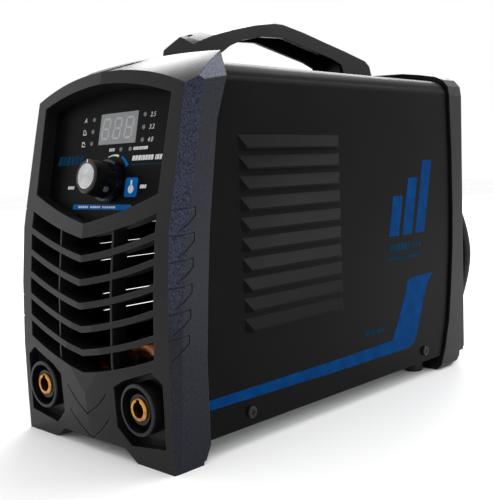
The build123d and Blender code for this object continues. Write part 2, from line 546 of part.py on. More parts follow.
bezel_screws = [Pos(side * BOSS_X, TRAY_FRONT + 0.15 + SHEET, BOSS_Z) * Rot(-90, 0, 0) * screw(10.0)
                for side in (-1, 1)]
feet = []
for x, y in FEET:
    foot = Pos(x, y, 0) * loft([Circle(7.5), Pos(0, 0, TRAY_TOP - SHEET - 0.05) * Circle(8.5)])
    feet.append(fillet(foot.edges().group_by(Axis.Z)[0], 1.0))
save("rubber_feet", feet)

# ---------------------------------------------------------------- handle
# Stations from front to rear: distance behind the keel, height of the side edges, height of the ridge.
STATIONS = [(89.0, 16.5, 24.0), (98.0, 21.0, 26.3), (112.0, 26.0, 30.5), (132.0, 31.5, 35.5),
            (152.0, 36.2, 39.5), (174.0, 39.6, 41.3), (183.0, 39.6, 41.0), (206.0, 36.0, 37.4),
            (231.0, 31.0, 32.4), (257.0, 26.0, 27.4), (285.0, 20.0, 21.4), (291.0, 16.0, 17.4),
            (297.0, 0.6, 1.0)]


def handle_form(inset, first, last):
    """Gabled bar over the stations between two depths, its foot on the cover."""
    rings = []
    half = HANDLE_HALF - inset
    for depth, edge, ridge in STATIONS:
        if first <= depth <= last:
            pts = [(-half, 0), (half, 0), (half, edge - inset), (0, ridge - inset), (-half, edge - inset)]
            wire = Wire.make_polygon([(x, COVER_TOP + z, 0) for x, z in pts], close=True)
            rings.append(Plane.XZ.offset(-(FRONT + depth)) * wire)
    return Solid.make_loft(rings, ruled=True)


ARCH = [(116.0, 0.0), (116.0, 13.5), (126.5, 20.0), (139.0, 25.0), (160.0, 29.0), (183.0, 30.0),
        (194.0, 27.8), (218.0, 23.2), (240.0, 19.0), (252.6, 15.0), (256.0, 7.6), (257.0, 0.0)]
handle = handle_form(0, 0, 400)
handle -= along_x(outline(*[(FRONT + d, COVER_TOP + h - (0.1 if h == 0 else 0)) for d, h in ARCH]), -30, 30)
prow = outline((FRONT + 80, COVER_TOP - 1), (FRONT + 87, COVER_TOP - 1), (FRONT + 95, COVER_TOP + 28),
               (FRONT + 80, COVER_TOP + 28))
handle -= along_x(prow, -30, 30)
hollow = handle_form(HANDLE_WALL, 150, 290)
hollow &= block(-30, 30, FRONT + 152, FRONT + 281, COVER_TOP - 1, COVER_TOP + 60)
for depth in (262.0, 270.0):
    hollow -= block(-30, 30, FRONT + depth, FRONT + depth + 2, COVER_TOP - 1, COVER_TOP + 60)
for x, y in HANDLE_SCREWS:
    hollow -= rod_z(x, y, 4.0, COVER_TOP - 1, COVER_TOP + 14)
handle -= hollow
for x, y in HANDLE_SCREWS:
    handle -= rod_z(x, y, SCREW_R, COVER_TOP - 1, COVER_TOP + 10)
SLOT_Y = FRONT + 100.0
handle -= Pos(3.0, SLOT_Y, COVER_TOP + 28) * Rot(18, 15, 0) * Box(3.0, 5.0, 6.0)
save("handle", handle)
save("handle_screws", [Pos(x, y, COVER_TOP - SHEET - 0.02) * Rot(180, 0, 0) * screw(9.0)
                       for x, y in HANDLE_SCREWS])

# ---------------------------------------------------------------- rear bezel
RIM_HALF = SIDE + 0.2
rear_right = [(50.0, BELLY + 3.5), (54.0, 0.0), (70.0, 0.0), (RIM_HALF - 1.0, 4.0), (RIM_HALF, 16.0),
              (RIM_HALF, COVER_TOP - 12), (RIM_HALF - 1.2, COVER_TOP - 4.5),
              (RIM_HALF - 6.0, COVER_TOP + 1.0), (RIM_HALF - 12.5, COVER_TOP + 4.0),
              (RIM_HALF - 27.0, COVER_TOP + 7.0), (32.0, COVER_TOP + 9.5), (0.01, COVER_TOP + 11.0)]
rear_face = outline(*mirrored(rear_right))
LAP = [(REAR - 36.0, -1), (REAR - 36.0, 3.0), (REAR - 30.0, 20.0), (REAR - 24.0, 40.0), (REAR - 20.5, 64.0),
       (REAR - 17.0, 100.0), (REAR - 16.0, 130.0), (REAR - 16.6, 178.0), (REAR - 19.0, COVER_TOP - 16),
       (REAR - 20.0, COVER_TOP + 20), (REAR + 5, COVER_TOP + 20), (REAR + 5, 14.0), (REAR - 1.0, 14.0),
       (REAR - 13.0, 1.0), (REAR - 14.0, -1)]
rear = along_y(rear_face, REAR - 40, REAR) & along_x(outline(*LAP), -90, 90)
rear -= cover_space(LIP_GAP, REAR - 60, WALL_IN, COVER_BOTTOM - 0.5)
rear -= block(-46, 46, REAR - 60, WALL_IN, -1, COVER_BOTTOM)
rim_in = offset(rear_face, -5.0, kind=Kind.INTERSECTION)
rear -= along_y(rim_in, WALL_OUT, REAR + 1)
rear = rear - block(-90, 90, WALL_OUT, REAR + 1, -1, 14.0) + \
    (block(-RIM_HALF, RIM_HALF, WALL_OUT - 1, REAR - 1.0, 11.5, 16.0) & along_y(rear_face, REAR - 40, REAR))
rear -= rod_y(0, FAN_UP, FAN_BORE_R, WALL_IN - 1, WALL_OUT + 1)
SWITCH_HALF_X, SWITCH_HALF_Z = 14.0, 10.5
rear -= block(SWITCH_X - SWITCH_HALF_X, SWITCH_X + SWITCH_HALF_X, WALL_IN - 1, WALL_OUT + 1,
              SWITCH_UP - SWITCH_HALF_Z, SWITCH_UP + SWITCH_HALF_Z)
GLAND_HOLE_R = 8.2        # over the gland's body
rear -= rod_y(GLAND_X, GLAND_UP, GLAND_HOLE_R, WALL_IN - 1, WALL_OUT + 1)
FAN_HOLES = [(sx * FAN_HOLE / 2, FAN_UP + sz * FAN_HOLE / 2) for sx in (-1, 1) for sz in (-1, 1)]
for x, z in FAN_HOLES:
    rear -= rod_y(x, z, SCREW_R + 0.15, WALL_IN - 1, WALL_OUT + 1)
for side in (-1, 1):
    rear -= rod_y(side * 55.0, BOSS_Z, SCREW_R + 0.15, WALL_IN - 1, WALL_OUT + 1)
rear -= rod_y(*EARTH, EARTH_R + 0.1, WALL_IN - 1, WALL_OUT + 1)
save("rear_bezel", rear)
bezel_screws += [Pos(side * 55.0, WALL_OUT + 0.02, BOSS_Z) * Rot(-90, 0, 0) * screw(8.0) for side in (-1, 1)]
save("bezel_screws", bezel_screws)
earth = rod_y(*EARTH, 7.0, WALL_OUT + SEAT_GAP, WALL_OUT + 2.4)
earth += rod_y(*EARTH, EARTH_R, WALL_OUT - 14, WALL_OUT + 1)
earth += Pos(EARTH[0], WALL_OUT + 2, EARTH[1]) * Rot(-90, 0, 0) * extrude(RegularPolygon(5.0, 6), amount=3.2)
earth_nut = extrude(RegularPolygon(5.5, 6), amount=4.5)
earth_nut = Pos(EARTH[0], TRAY_REAR - SHEET - SEAT_GAP, EARTH[1]) * Rot(90, 0, 0) * earth_nut
earth_nut -= rod_y(*EARTH, EARTH_R + THREAD_GAP, WALL_OUT - 30, WALL_OUT)
save("earth_bolt", [earth, earth_nut])

# ---------------------------------------------------------------- fan, guard and screws
FAN_REAR = WALL_IN - SEAT_GAP
FAN_FRONT = FAN_REAR - FAN_T
fan_frame = block(-FAN / 2, FAN / 2, FAN_FRONT, FAN_REAR, FAN_UP - FAN / 2, FAN_UP + FAN / 2)
fan_frame = fillet(fan_frame.edges().filter_by(Axis.Y), 5.0)
fan_frame -= rod_y(0, FAN_UP, FAN_BORE_R, FAN_FRONT - 1, FAN_REAR + 1)
waist = block(-FAN, FAN, FAN_FRONT + 4, FAN_REAR - 4, FAN_UP - FAN, FAN_UP + FAN)
fan_frame -= waist - rod_y(0, FAN_UP, FAN_BORE_R + 1.6, FAN_FRONT, FAN_REAR)
for x, z in FAN_HOLES:
    fan_frame -= rod_y(x, z, SCREW_R + THREAD_GAP, FAN_FRONT - 1, FAN_REAR + 1)
SPOKE_Y = FAN_REAR - 3.0
STATOR_R = 15.0
motor = rod_y(0, FAN_UP, STATOR_R, SPOKE_Y - 14.0, FAN_REAR - 0.5)
motor += rod_y(0, FAN_UP, FAN_HUB_R, SPOKE_Y, FAN_REAR - 0.5)
for turn in range(4):
    spoke = block(FAN_HUB_R - 2, FAN_BORE_R + 1, SPOKE_Y, SPOKE_Y + 2.5, FAN_UP - 2, FAN_UP + 2)
    motor += Pos(0, 0, FAN_UP) * Rot(0, 45 + 90 * turn, 0) * Pos(0, 0, -FAN_UP) * spoke
AXLE_R = 1.5
motor -= rod_y(0, FAN_UP, AXLE_R + FIT, SPOKE_Y - 15.0, SPOKE_Y + 1.0)
save("fan_frame", fan_frame + motor)

HUB_FRONT = FAN_FRONT + 2.0
hub = rod_y(0, FAN_UP, FAN_HUB_R, HUB_FRONT, SPOKE_Y - 0.6)
hub -= rod_y(0, FAN_UP, FAN_HUB_R - 2.0, HUB_FRONT + 2.0, SPOKE_Y)
hub += rod_y(0, FAN_UP, AXLE_R, HUB_FRONT + 1.0, SPOKE_Y + 0.4)
FAN_BLADES = 7
blade_tip = Pos(0, 0, FAN_BLADE_R - FAN_HUB_R + 3) * Rot(0, 0, 62) * Rectangle(1.6, 32.0)
blade = loft([Rot(0, 0, 48) * Rectangle(1.8, 24.0), blade_tip])
blade = Pos(0, (HUB_FRONT + SPOKE_Y) / 2 - 0.3, FAN_UP + FAN_HUB_R - 0.5) * blade
sweep_space = rod_y(0, FAN_UP, FAN_BLADE_R, HUB_FRONT + 0.5, SPOKE_Y - 1.0)
rotor = hub
for n in range(FAN_BLADES):
    rotor += Pos(0, 0, FAN_UP) * Rot(0, n * 360 / FAN_BLADES, 0) * Pos(0, 0, -FAN_UP) * blade & sweep_space
save("fan_rotor", rotor)

WIRE_R = 1.0
GUARD_RINGS = 5
GUARD_Y = WALL_OUT + WIRE_R + SEAT_GAP
guard = Part()
for n in range(GUARD_RINGS):
    r = FAN_HUB_R + 2 + n * (FAN_BORE_R + 0.5 - FAN_HUB_R - 2) / (GUARD_RINGS - 1)
    guard += Pos(0, GUARD_Y + WIRE_R * 1.6, FAN_UP) * Rot(90, 0, 0) * Torus(r, WIRE_R)
for turn in range(4):
    spoke = rod_z(0, 0, WIRE_R, 20.0, FAN_HOLE / math.sqrt(2) - 3.5)
    eye = Pos(0, 0, FAN_HOLE / math.sqrt(2)) * Rot(90, 0, 0) * Torus(SCREW_R + 1.6, WIRE_R)
    guard += Pos(0, GUARD_Y, FAN_UP) * Rot(0, 45 + 90 * turn, 0) * (spoke + eye)
save("fan_guard", guard)
fan_screw = Rot(-90, 0, 0) * screw(16.0, 3.4, 1.6)
save("fan_screws", [Pos(x, GUARD_Y + WIRE_R + SEAT_GAP, z) * fan_screw for x, z in FAN_HOLES])

# ---------------------------------------------------------------- power switch
ROCKER_TIP = 10.0         # rocker's tilt each way, degrees
FLANGE_X, FLANGE_Z = SWITCH_HALF_X + 2.5, SWITCH_HALF_Z + 2.5
switch = block(SWITCH_X - FLANGE_X, SWITCH_X + FLANGE_X, WALL_OUT + SEAT_GAP, WALL_OUT + 1.8,
               SWITCH_UP - FLANGE_Z, SWITCH_UP + FLANGE_Z)
switch = fillet(switch.edges().group_by(Axis.Y)[-1], 0.7)
switch += block(SWITCH_X - SWITCH_HALF_X + 0.1, SWITCH_X + SWITCH_HALF_X - 0.1, WALL_IN - 20, WALL_OUT + 1,
                SWITCH_UP - SWITCH_HALF_Z + 0.1, SWITCH_UP + SWITCH_HALF_Z - 0.1)
ROCKER_Y = WALL_OUT - 2.0
ROCKER_HALF_X, ROCKER_HALF_Z = 11.0, 8.4
switch -= block(SWITCH_X - ROCKER_HALF_X - 0.4, SWITCH_X + ROCKER_HALF_X + 0.4, WALL_OUT - 8.5, WALL_OUT + 3,
                SWITCH_UP - ROCKER_HALF_Z - 0.6, SWITCH_UP + ROCKER_HALF_Z + 0.6)
PIN_R = 1.2
PIN_LONG = ROCKER_HALF_X + 1.7
switch -= rod_x(ROCKER_Y, SWITCH_UP, PIN_R + FIT, SWITCH_X - PIN_LONG - 0.2, SWITCH_X + PIN_LONG + 0.2)
for x in (SWITCH_X - 7, SWITCH_X + 7):
    for z in (SWITCH_UP - 5.0, SWITCH_UP + 5.0):
        switch += block(x - 2.4, x + 2.4, WALL_IN - 29, WALL_IN - 19, z - 0.4, z + 0.4)
save("power_switch_body", switch)
rocker = outline((-4.5, -3.2), (-2.0, -ROCKER_HALF_Z + 0.8), (3.4, -ROCKER_HALF_Z),
                 (3.4, ROCKER_HALF_Z, 2.2, 0), (-2.0, ROCKER_HALF_Z - 0.8), (-4.5, 3.2))
rocker = along_x(rocker, SWITCH_X - ROCKER_HALF_X, SWITCH_X + ROCKER_HALF_X)
rocker = Rot(-ROCKER_TIP, 0, 0) * rocker
rocker += rod_x(0, 0, PIN_R, SWITCH_X - PIN_LONG, SWITCH_X + PIN_LONG)
save("power_switch_rocker", Pos(0, ROCKER_Y, SWITCH_UP) * rocker)

# ---------------------------------------------------------------- cable gland, mains cord, tie and plug
GLAND_END = WALL_OUT + 16.0
RELIEF_END = GLAND_END + 20.0
GLAND_R = 8.0             # threaded body


def on_gland(y, shape):
    """Places a shape drawn along +Z on the gland's axis, pointing rearwards from a depth."""
    return Pos(GLAND_X, y, GLAND_UP) * Rot(-90, 0, 0) * shape


gland = on_gland(WALL_OUT + SEAT_GAP, extrude(RegularPolygon(12.0, 6), amount=5.0))
gland += rod_y(GLAND_X, GLAND_UP, GLAND_R, WALL_IN - 9.0, WALL_OUT + 6)
gland += on_gland(WALL_OUT + 5.0, loft([Circle(10.8), Pos(0, 0, 8) * Circle(10.2)]))
gland += on_gland(WALL_OUT + 13.0, loft([Circle(10.2), Pos(0, 0, 3) * Circle(7.5)]))
gland -= rod_y(GLAND_X, GLAND_UP, CORD_R, WALL_IN - 20, GLAND_END + 1)
save("cable_gland", gland)
locknut = on_gland(WALL_IN - SEAT_GAP - 5.0, extrude(RegularPolygon(12.5, 6), amount=5.0))
save("gland_locknut", locknut - rod_y(GLAND_X, GLAND_UP, GLAND_R + THREAD_GAP, WALL_IN - 30, WALL_OUT))
relief = on_gland(GLAND_END, loft([Circle(7.2), Pos(0, 0, RELIEF_END - GLAND_END) * Circle(5.0)]))
save("strain_relief", relief - rod_y(GLAND_X, GLAND_UP, CORD_R, GLAND_END - 1, RELIEF_END + 1))

COIL_TILT = math.radians(COIL_LEAN)
COIL_OUT_A, COIL_OUT_B = COIL_A + COIL_THICK / 2, COIL_B + COIL_THICK / 2
COIL_UP = COIL_OUT_B * math.cos(COIL_TILT) + COIL_THICK / 2 * math.sin(COIL_TILT) + 0.02
COIL_Y = REAR + COIL_OUT_B * math.sin(COIL_TILT) + COIL_THICK / 2 / math.cos(COIL_TILT) - 0.6
COIL = Pos(0, COIL_Y, COIL_UP) * Rot(COIL_LEAN, 0, 0)


def oval(a, b):
    return Plane.XZ * Ellipse(a, b)


HALF_BUNDLE = COIL_THICK / 2
ring = extrude(oval(COIL_OUT_A, COIL_OUT_B) - oval(COIL_A - HALF_BUNDLE, COIL_B - HALF_BUNDLE),
               amount=HALF_BUNDLE, both=True)
ring = chamfer(ring.edges(), HALF_BUNDLE * 0.4)
save("mains_cord_coil", COIL * ring)


def cord_tube(name, points):
    """Round tube on straight runs joined by the largest arcs that the runs allow; prints its radii."""
    spots = [Vector(*p) for p in points]
    runs = [(b - a).length for a, b in zip(spots, spots[1:])]
    radii = []
    for n in range(1, len(spots) - 1):
        turn = (spots[n] - spots[n - 1]).get_angle(spots[n + 1] - spots[n])
        radii.append(0.45 * min(runs[n - 1], runs[n]) / math.tan(math.radians(turn) / 2))
    path = FilletPolyline(*spots, radius=radii)
    start = Plane(origin=spots[0], z_dir=spots[1] - spots[0])
    tube = sweep(start * Circle(CORD_R), path=path)
    ratio = tube.volume / (math.pi * CORD_R ** 2 * path.length)
    print(name, "radii", [round(r) for r in radii])
    print(name, "length", round(path.length), "volume over section times length", round(ratio, 3))
    save(name, tube)
    return path.length


LEAD = [(GLAND_X, RELIEF_END, GLAND_UP), (GLAND_X, RELIEF_END + 23.5, GLAND_UP - 2.7),
        (GLAND_X + 1, RELIEF_END + 43.5, GLAND_UP - 15.7), (GLAND_X + 3, RELIEF_END + 54.5, GLAND_UP - 37),
        (GLAND_X + 9, RELIEF_END + 54.5, GLAND_UP - 61.5), (GLAND_X + 20, RELIEF_END + 44.5, GLAND_UP - 83),
        (GLAND_X + 36, RELIEF_END + 27.5, GLAND_UP - 101), (GLAND_X + 51, RELIEF_END + 10.5, GLAND_UP - 118),
        (GLAND_X + 61, RELIEF_END - 3, GLAND_UP - 138)]
TAIL = [(47.5, COIL_Y + 5, 39.5), (35.0, COIL_Y + 12, 19.0), (14.0, COIL_Y + 20, 9.0),
        (-10.0, COIL_Y + 27, 9.0), (-32.0, COIL_Y + 31, 14.5), (-46.0, COIL_Y + 32, 17.5)]
lead_length = cord_tube("mains_cord_lead", LEAD)
tail_length = cord_tube("mains_cord_tail", TAIL)
print("cord outside the coil", round(lead_length + tail_length))

TIE_W = 12.0
tie = Pos(-COIL_A, 0, 0) * Box(COIL_THICK + 2.4, COIL_THICK + 2.4, TIE_W)
tie = fillet(tie.edges().filter_by(Axis.Z), 5.0) - ring
save("cord_tie", max((COIL * tie).solids(), key=lambda solid: solid.volume))

PLUG_R = 17.4
PLUG_X, PLUG_Y, PLUG_Z = TAIL[-1]
PLUG_RELIEF = 20.0
PLUG_LONG = 36.0
plug = Rot(0, -90, 0) * (loft([Circle(5.0), Pos(0, 0, PLUG_RELIEF) * Circle(8.5)])
                         + Pos(0, 0, PLUG_RELIEF) * loft([Circle(10.0), Pos(0, 0, 9) * Circle(PLUG_R - 1.5)])
                         + Pos(0, 0, PLUG_RELIEF + 9) * extrude(Circle(PLUG_R), amount=PLUG_LONG - 9))
for turn in range(12):
    flute = Pos(-PLUG_RELIEF - 18, 0, 0) * Rot(30 * turn, 0, 0) * Pos(0, 0, PLUG_R + 0.8) * Rot(0, 90, 0)
    plug -= flute * Cylinder(1.6, 14)
plug -= rod_x(0, 0, CORD_R, -3.0, 1.0)
PLUG = Pos(PLUG_X, PLUG_Y, PLUG_Z)
PIN_GAP = 19.0
plug_end = -PLUG_RELIEF - PLUG_LONG
for side in (-1, 1):
    plug -= rod_x(side * PIN_GAP / 2, 0, 2.4, plug_end - 1, plug_end + 12)
save("plug_body", PLUG * plug)
pins = []
for side in (-1, 1):
    pin = rod_x(side * PIN_GAP / 2, 0, 2.4, plug_end - 19.0, plug_end + 12)
    pins.append(PLUG * fillet(pin.edges().group_by(Axis.X)[0], 1.6))
save("plug_pins", pins)

# ---------------------------------------------------------------- power electronics in the tray
BOARD_HALF = 62.0
BOARD_Y0, BOARD_Y1 = FRONT + 76.0, REAR - 66.0
power_board = block(-BOARD_HALF, BOARD_HALF, BOARD_Y0, BOARD_Y1, PCB_UNDER, POWER_TOP)
standoffs = []
for x, y in POWER_SCREWS:
    power_board -= rod_z(x, y, 1.6, PCB_UNDER - 1, POWER_TOP + 1)
    standoffs.append(rod_z(x, y, 3.0, TRAY_TOP, PCB_UNDER) - rod_z(x, y, 1.5, TRAY_TOP - 1, PCB_UNDER + 1))
    board_screws.append(Pos(x, y, POWER_TOP) * screw(6.5, 2.8, 1.6, 1.45))
save("power_board", power_board)
save("board_standoffs", standoffs)
save("board_screws", board_screws)

SINK_IN, SINK_BACK, SINK_OUT = 14.0, 19.0, 50.0
SINK_Y0, SINK_Y1 = FRONT + 137.0, REAR - 107.0
SINK_Z0, SINK_Z1 = POWER_TOP + 2.0, POWER_TOP + 66.0
SINK_FINS = 8
FIN_T = 1.8
sinks = []


def flank(side, near, far, z0, z1):
    """Block beside the middle of the board, between two distances from it, along the heatsinks."""
    x0, x1 = sorted((side * near, side * far))
    return block(x0, x1, SINK_Y0, SINK_Y1, z0, z1)


for side in (-1, 1):
    sink = flank(side, SINK_IN, SINK_BACK, SINK_Z0, SINK_Z1)
    for n in range(SINK_FINS):
        z = SINK_Z0 + n * (SINK_Z1 - SINK_Z0 - FIN_T) / (SINK_FINS - 1)
        sink += flank(side, SINK_BACK - 0.5, SINK_OUT, z, z + FIN_T)
    for y in (SINK_Y0 + 8, SINK_Y1 - 8):
        sink += rod_z(side * (SINK_IN + 2.5), y, 2.0, POWER_TOP, SINK_Z0 + 1)
    sinks.append(sink)
save("heatsinks", sinks)
PACKAGE = (5.0, 16.0, 21.0)
PACKAGES = 4
for side, name in ((-1, "power_transistors"), (1, "output_diodes")):
    row = []
    for n in range(PACKAGES):
        y = SINK_Y0 + 12 + n * (SINK_Y1 - SINK_Y0 - 24) / (PACKAGES - 1)
        x = side * (SINK_IN - 0.03 - PACKAGE[0] / 2)
        package = Pos(x, y, POWER_TOP + 12 + PACKAGE[2] / 2) * Box(*PACKAGE)
        for leg in (-5.4, 0.0, 5.4):
            package += block(x - 0.4, x + 0.4, y + leg - 0.7, y + leg + 0.7, POWER_TOP, POWER_TOP + 12.5)
        row.append(package)
    save(name, row)
save("driver_board", block(-PCB_T / 2, PCB_T / 2, SINK_Y0 + 4, SINK_Y1 - 4, POWER_TOP, POWER_TOP + 48))

CORE_Y0, CORE_Y1 = FRONT + 95.0, FRONT + 123.0
CORE_Z0, CORE_Z1 = POWER_TOP + 4.0, POWER_TOP + 64.0
LEG = 10.0
core = block(-32, 32, CORE_Y0, CORE_Y1, CORE_Z0, CORE_Z1)
for side in (-1, 1):
    x0, x1 = sorted((side * LEG, side * 24.0))
    core -= block(x0, x1, CORE_Y0 - 1, CORE_Y1 + 1, CORE_Z0 + 10, CORE_Z1 - 10)
core += block(-14, 14, CORE_Y0 + 6, CORE_Y1 - 6, POWER_TOP, CORE_Z0 + 1)
save("transformer_core", core)
winding = block(-23.7, 23.7, CORE_Y0 - 10, CORE_Y1 + 10, CORE_Z0 + 10.5, CORE_Z1 - 10.5)
winding = fillet(winding.edges().filter_by(Axis.Z), 8.0)
winding -= block(-LEG - 0.2, LEG + 0.2, CORE_Y0 - 0.2, CORE_Y1 + 0.2, CORE_Z0, CORE_Z1)
save("transformer_winding", winding)

CHOKE_R, CHOKE_BORE, CHOKE_T = 21.0, 11.0, 11.0
WINDING_R = 8.6
CHOKE_MEAN = (CHOKE_R + CHOKE_BORE) / 2
CHOKE = Pos(0, FRONT + 57.0, TRAY_TOP + CHOKE_MEAN + WINDING_R + 0.7) * Rot(90, 0, 0)
save("choke_core", CHOKE * (Cylinder(CHOKE_R, CHOKE_T) - Cylinder(CHOKE_BORE, CHOKE_T + 1)))
coat = Torus(CHOKE_MEAN, WINDING_R)
coat -= Cylinder(CHOKE_R + SEAT_GAP, CHOKE_T + 0.1) - Cylinder(CHOKE_BORE - SEAT_GAP, CHOKE_T + 1)
for turn in range(4):
    coat -= Rot(0, 0, 45 + 90 * turn) * Pos(CHOKE_MEAN, 0, 0) * Box(22, 4.0, 22)
save("choke_winding", [CHOKE * solid for solid in coat.solids()])

capacitors = []
for n in range(3):
    can = rod_z(-45.0 + 30.5 * n, REAR - 90.0, 15.0, POWER_TOP, POWER_TOP + 50.0)
    capacitors.append(fillet(can.edges().group_by(Axis.Z)[-1], 1.2))
save("bulk_capacitors", capacitors)
relay = block(-60, -40, FRONT + 116, FRONT + 132, POWER_TOP, POWER_TOP + 17)
save("relay", fillet(relay.edges().filter_by(Axis.Z), 0.8))
bridge = block(38, 60, FRONT + 112, FRONT + 134, POWER_TOP, POWER_TOP + 7)
save("bridge_rectifier", chamfer(bridge.edges().filter_by(Axis.Z), 2.0))
save("interference_choke", Pos(47.0, REAR - 92.0, POWER_TOP + 5.0) * Torus(9.0, 4.95))
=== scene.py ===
import json
import math

import bmesh
import bpy
from mathutils import Matrix, Vector


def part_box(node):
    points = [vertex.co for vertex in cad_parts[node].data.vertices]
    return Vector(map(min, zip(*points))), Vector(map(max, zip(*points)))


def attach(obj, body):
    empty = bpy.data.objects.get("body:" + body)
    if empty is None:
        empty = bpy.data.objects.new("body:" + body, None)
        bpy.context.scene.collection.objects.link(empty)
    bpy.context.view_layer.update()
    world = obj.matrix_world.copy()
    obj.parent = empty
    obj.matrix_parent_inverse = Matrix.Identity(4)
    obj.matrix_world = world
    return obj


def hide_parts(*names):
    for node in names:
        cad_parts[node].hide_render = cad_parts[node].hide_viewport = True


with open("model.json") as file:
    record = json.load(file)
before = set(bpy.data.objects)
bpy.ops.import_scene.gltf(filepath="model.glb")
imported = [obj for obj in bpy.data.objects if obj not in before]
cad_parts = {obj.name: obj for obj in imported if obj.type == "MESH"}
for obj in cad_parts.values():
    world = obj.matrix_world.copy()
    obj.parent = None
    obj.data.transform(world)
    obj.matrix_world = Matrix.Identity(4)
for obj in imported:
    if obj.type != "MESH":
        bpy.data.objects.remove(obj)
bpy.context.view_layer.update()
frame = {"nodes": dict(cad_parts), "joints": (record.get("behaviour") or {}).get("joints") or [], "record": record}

# ---------------------------------------------------------------- mains cord
# A rubber-sheathed 3-core lead, 8 mm thick. It comes out of the gland high on the back, hangs down behind
# the case and is wound into a coil that leans on the rear rim, with its plug lying beside it on the floor.
MM = 0.001
CORD_WIDE = 8.0 * MM


def linear(code):
    """Linear RGBA from an sRGB hex code."""
    parts = [int(code[n:n + 2], 16) / 255 for n in (1, 3, 5)]
    return tuple(c / 12.92 if c <= 0.04045 else ((c + 0.055) / 1.055) ** 2.4 for c in parts) + (1.0,)


def add(material, kind, inputs=None, **settings):
    """Adds a shader node. An input takes a value, a node (its first output) or a (node, output) pair."""
    made = material.node_tree.nodes.new(kind)
    for name, value in settings.items():
        setattr(made, name, value)
    for name, value in (inputs or {}).items():
        source = (value, 0) if isinstance(value, bpy.types.Node) else value
        if isinstance(source, tuple) and isinstance(source[0], bpy.types.Node):
            material.node_tree.links.new(source[0].outputs[source[1]], made.inputs[name])
        else:
            made.inputs[name].default_value = value
    return made


def start_material(name):
    """Empty node material, and its coordinates in metres of the machine's own frame."""
    material = bpy.data.materials.new(name)
    material.use_nodes = True
    material.node_tree.nodes.clear()
    return material, add(material, "ShaderNodeTexCoord")


def close_material(material, inputs):
    """Feeds the principled shader that the surface ends in."""
    shader = add(material, "ShaderNodeBsdfPrincipled", inputs)
    add(material, "ShaderNodeOutputMaterial", {"Surface": shader})
    return material


def grain(material, place, size, detail=2.0):
    """Noise whose blotches are about size metres across."""
    return add(material, "ShaderNodeTexNoise", {"Vector": (place, 3), "Scale": 1 / size, "Detail": detail})


def between(material, factor, low, high):
    """Colour that runs from one hex code to another."""
    ramp = add(material, "ShaderNodeValToRGB", {"Fac": factor})
    ramp.color_ramp.elements[0].position = 0.35
    ramp.color_ramp.elements[0].color = linear(low)
    ramp.color_ramp.elements[1].position = 0.65
    ramp.color_ramp.elements[1].color = linear(high)
    return ramp


def spread(material, factor, low, high):
    """Number that runs from low to high as the factor runs from 0.3 to 0.7."""
    return add(material, "ShaderNodeMapRange",
               {"Value": factor, "From Min": 0.3, "From Max": 0.7, "To Min": low, "To Max": high})


def dress(material, *names):
    """Gives CAD nodes a material."""
    for name in names:
        mesh = frame["nodes"][name].data
        mesh.materials.clear()
        mesh.materials.append(material)


# Extruded synthetic rubber, so matt black with a faint sheen and fine lengthwise unevenness.
cord_rubber, place = start_material("extruded_rubber_sheath")
blotch = grain(cord_rubber, place, 6 * MM)
scuff = grain(cord_rubber, place, 0.8 * MM)
bump = add(cord_rubber, "ShaderNodeBump", {"Height": scuff, "Strength": 0.25, "Distance": 0.1 * MM})
close_material(cord_rubber, {"Base Color": between(cord_rubber, blotch, "#101011", "#191a1c"),
                             "Roughness": spread(cord_rubber, scuff, 0.42, 0.56), "Specular IOR Level": 0.25,
                             "Normal": bump})

relief_low, relief_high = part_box("strain_relief")
EXIT = Vector(((relief_low.x + relief_high.x) / 2, relief_high.y, (relief_low.z + relief_high.z) / 2))
coil_low, coil_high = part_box("mains_cord_coil")
# Lead from the gland to the coil, then the tail from the coil to the plug: points relative to the gland's
# exit and to the middle of the coil's foot.
LEAD = [(0, 0, 0), (0, 23.5, -2.7), (0.9, 43.8, -16.1), (4, 52.4, -39.8), (15.9, 48.8, -63.2),
        (31.2, 34.7, -80.7), (47.7, 21.1, -95.5), (60.4, 7.2, -113.4), (60.1, -0.8, -139.5)]
TAIL = [(47, 9.3, 25.1), (40.3, 12, 16.3), (30.9, 15.5, 9.9), (12.9, 21.7, 2.7), (-9.5, 28.2, 6.8),
        (-46, 32, 17.5)]
COIL_LEAN = math.radians(6.0)
COIL_TURNS = 4
TURN_POINTS = 18
COIL_WIDE = 60.0          # half width and half height of the coil's middle line
COIL_TALL = 81.2
LANE_R = 7.4              # the turns lie round the bundle's own middle at this distance
LANE_SPREAD = 1.2         # and this much wider where nothing ties them
LANE_STEP = math.radians(72)
LANE_FROM = math.radians(15)
FIRST_TURN, LAST_TURN = math.radians(38), math.radians(6)
COIL_Y = 184.857
coil_middle = Vector((0, COIL_Y * MM, (coil_low.z + coil_high.z) / 2))


def coil_point(turn):
    """Point of the coil after an angle measured from its right side downwards."""
    lane = math.radians(90) + LANE_STEP * (turn - LANE_FROM) / math.tau
    reach = LANE_R + LANE_SPREAD * (1 + math.cos(turn)) / 2
    out, back = reach * math.cos(lane), reach * math.sin(lane)
    flat = Vector(((COIL_WIDE + out) * math.cos(turn), back, -(COIL_TALL + out) * math.sin(turn))) * MM
    return coil_middle + Matrix.Rotation(COIL_LEAN, 3, "X") @ flat


def smooth_curve(name, points, wide, material):
    """Round bar along one smooth line with these control points."""
    curve = bpy.data.curves.new(name, "CURVE")
    curve.dimensions = "3D"
    curve.bevel_depth = wide / 2
    curve.bevel_resolution = 6
    curve.resolution_u = 6
    curve.use_fill_caps = True
    spline = curve.splines.new("NURBS")
    spline.points.add(len(points) - 1)
    for spot, point in zip(spline.points, points):
        spot.co = (*point, 1.0)
    spline.order_u = 3
    spline.use_endpoint_u = True
    made = bpy.data.objects.new(name, curve)
    bpy.context.scene.collection.objects.link(made)
    curve.materials.append(material)
    return made


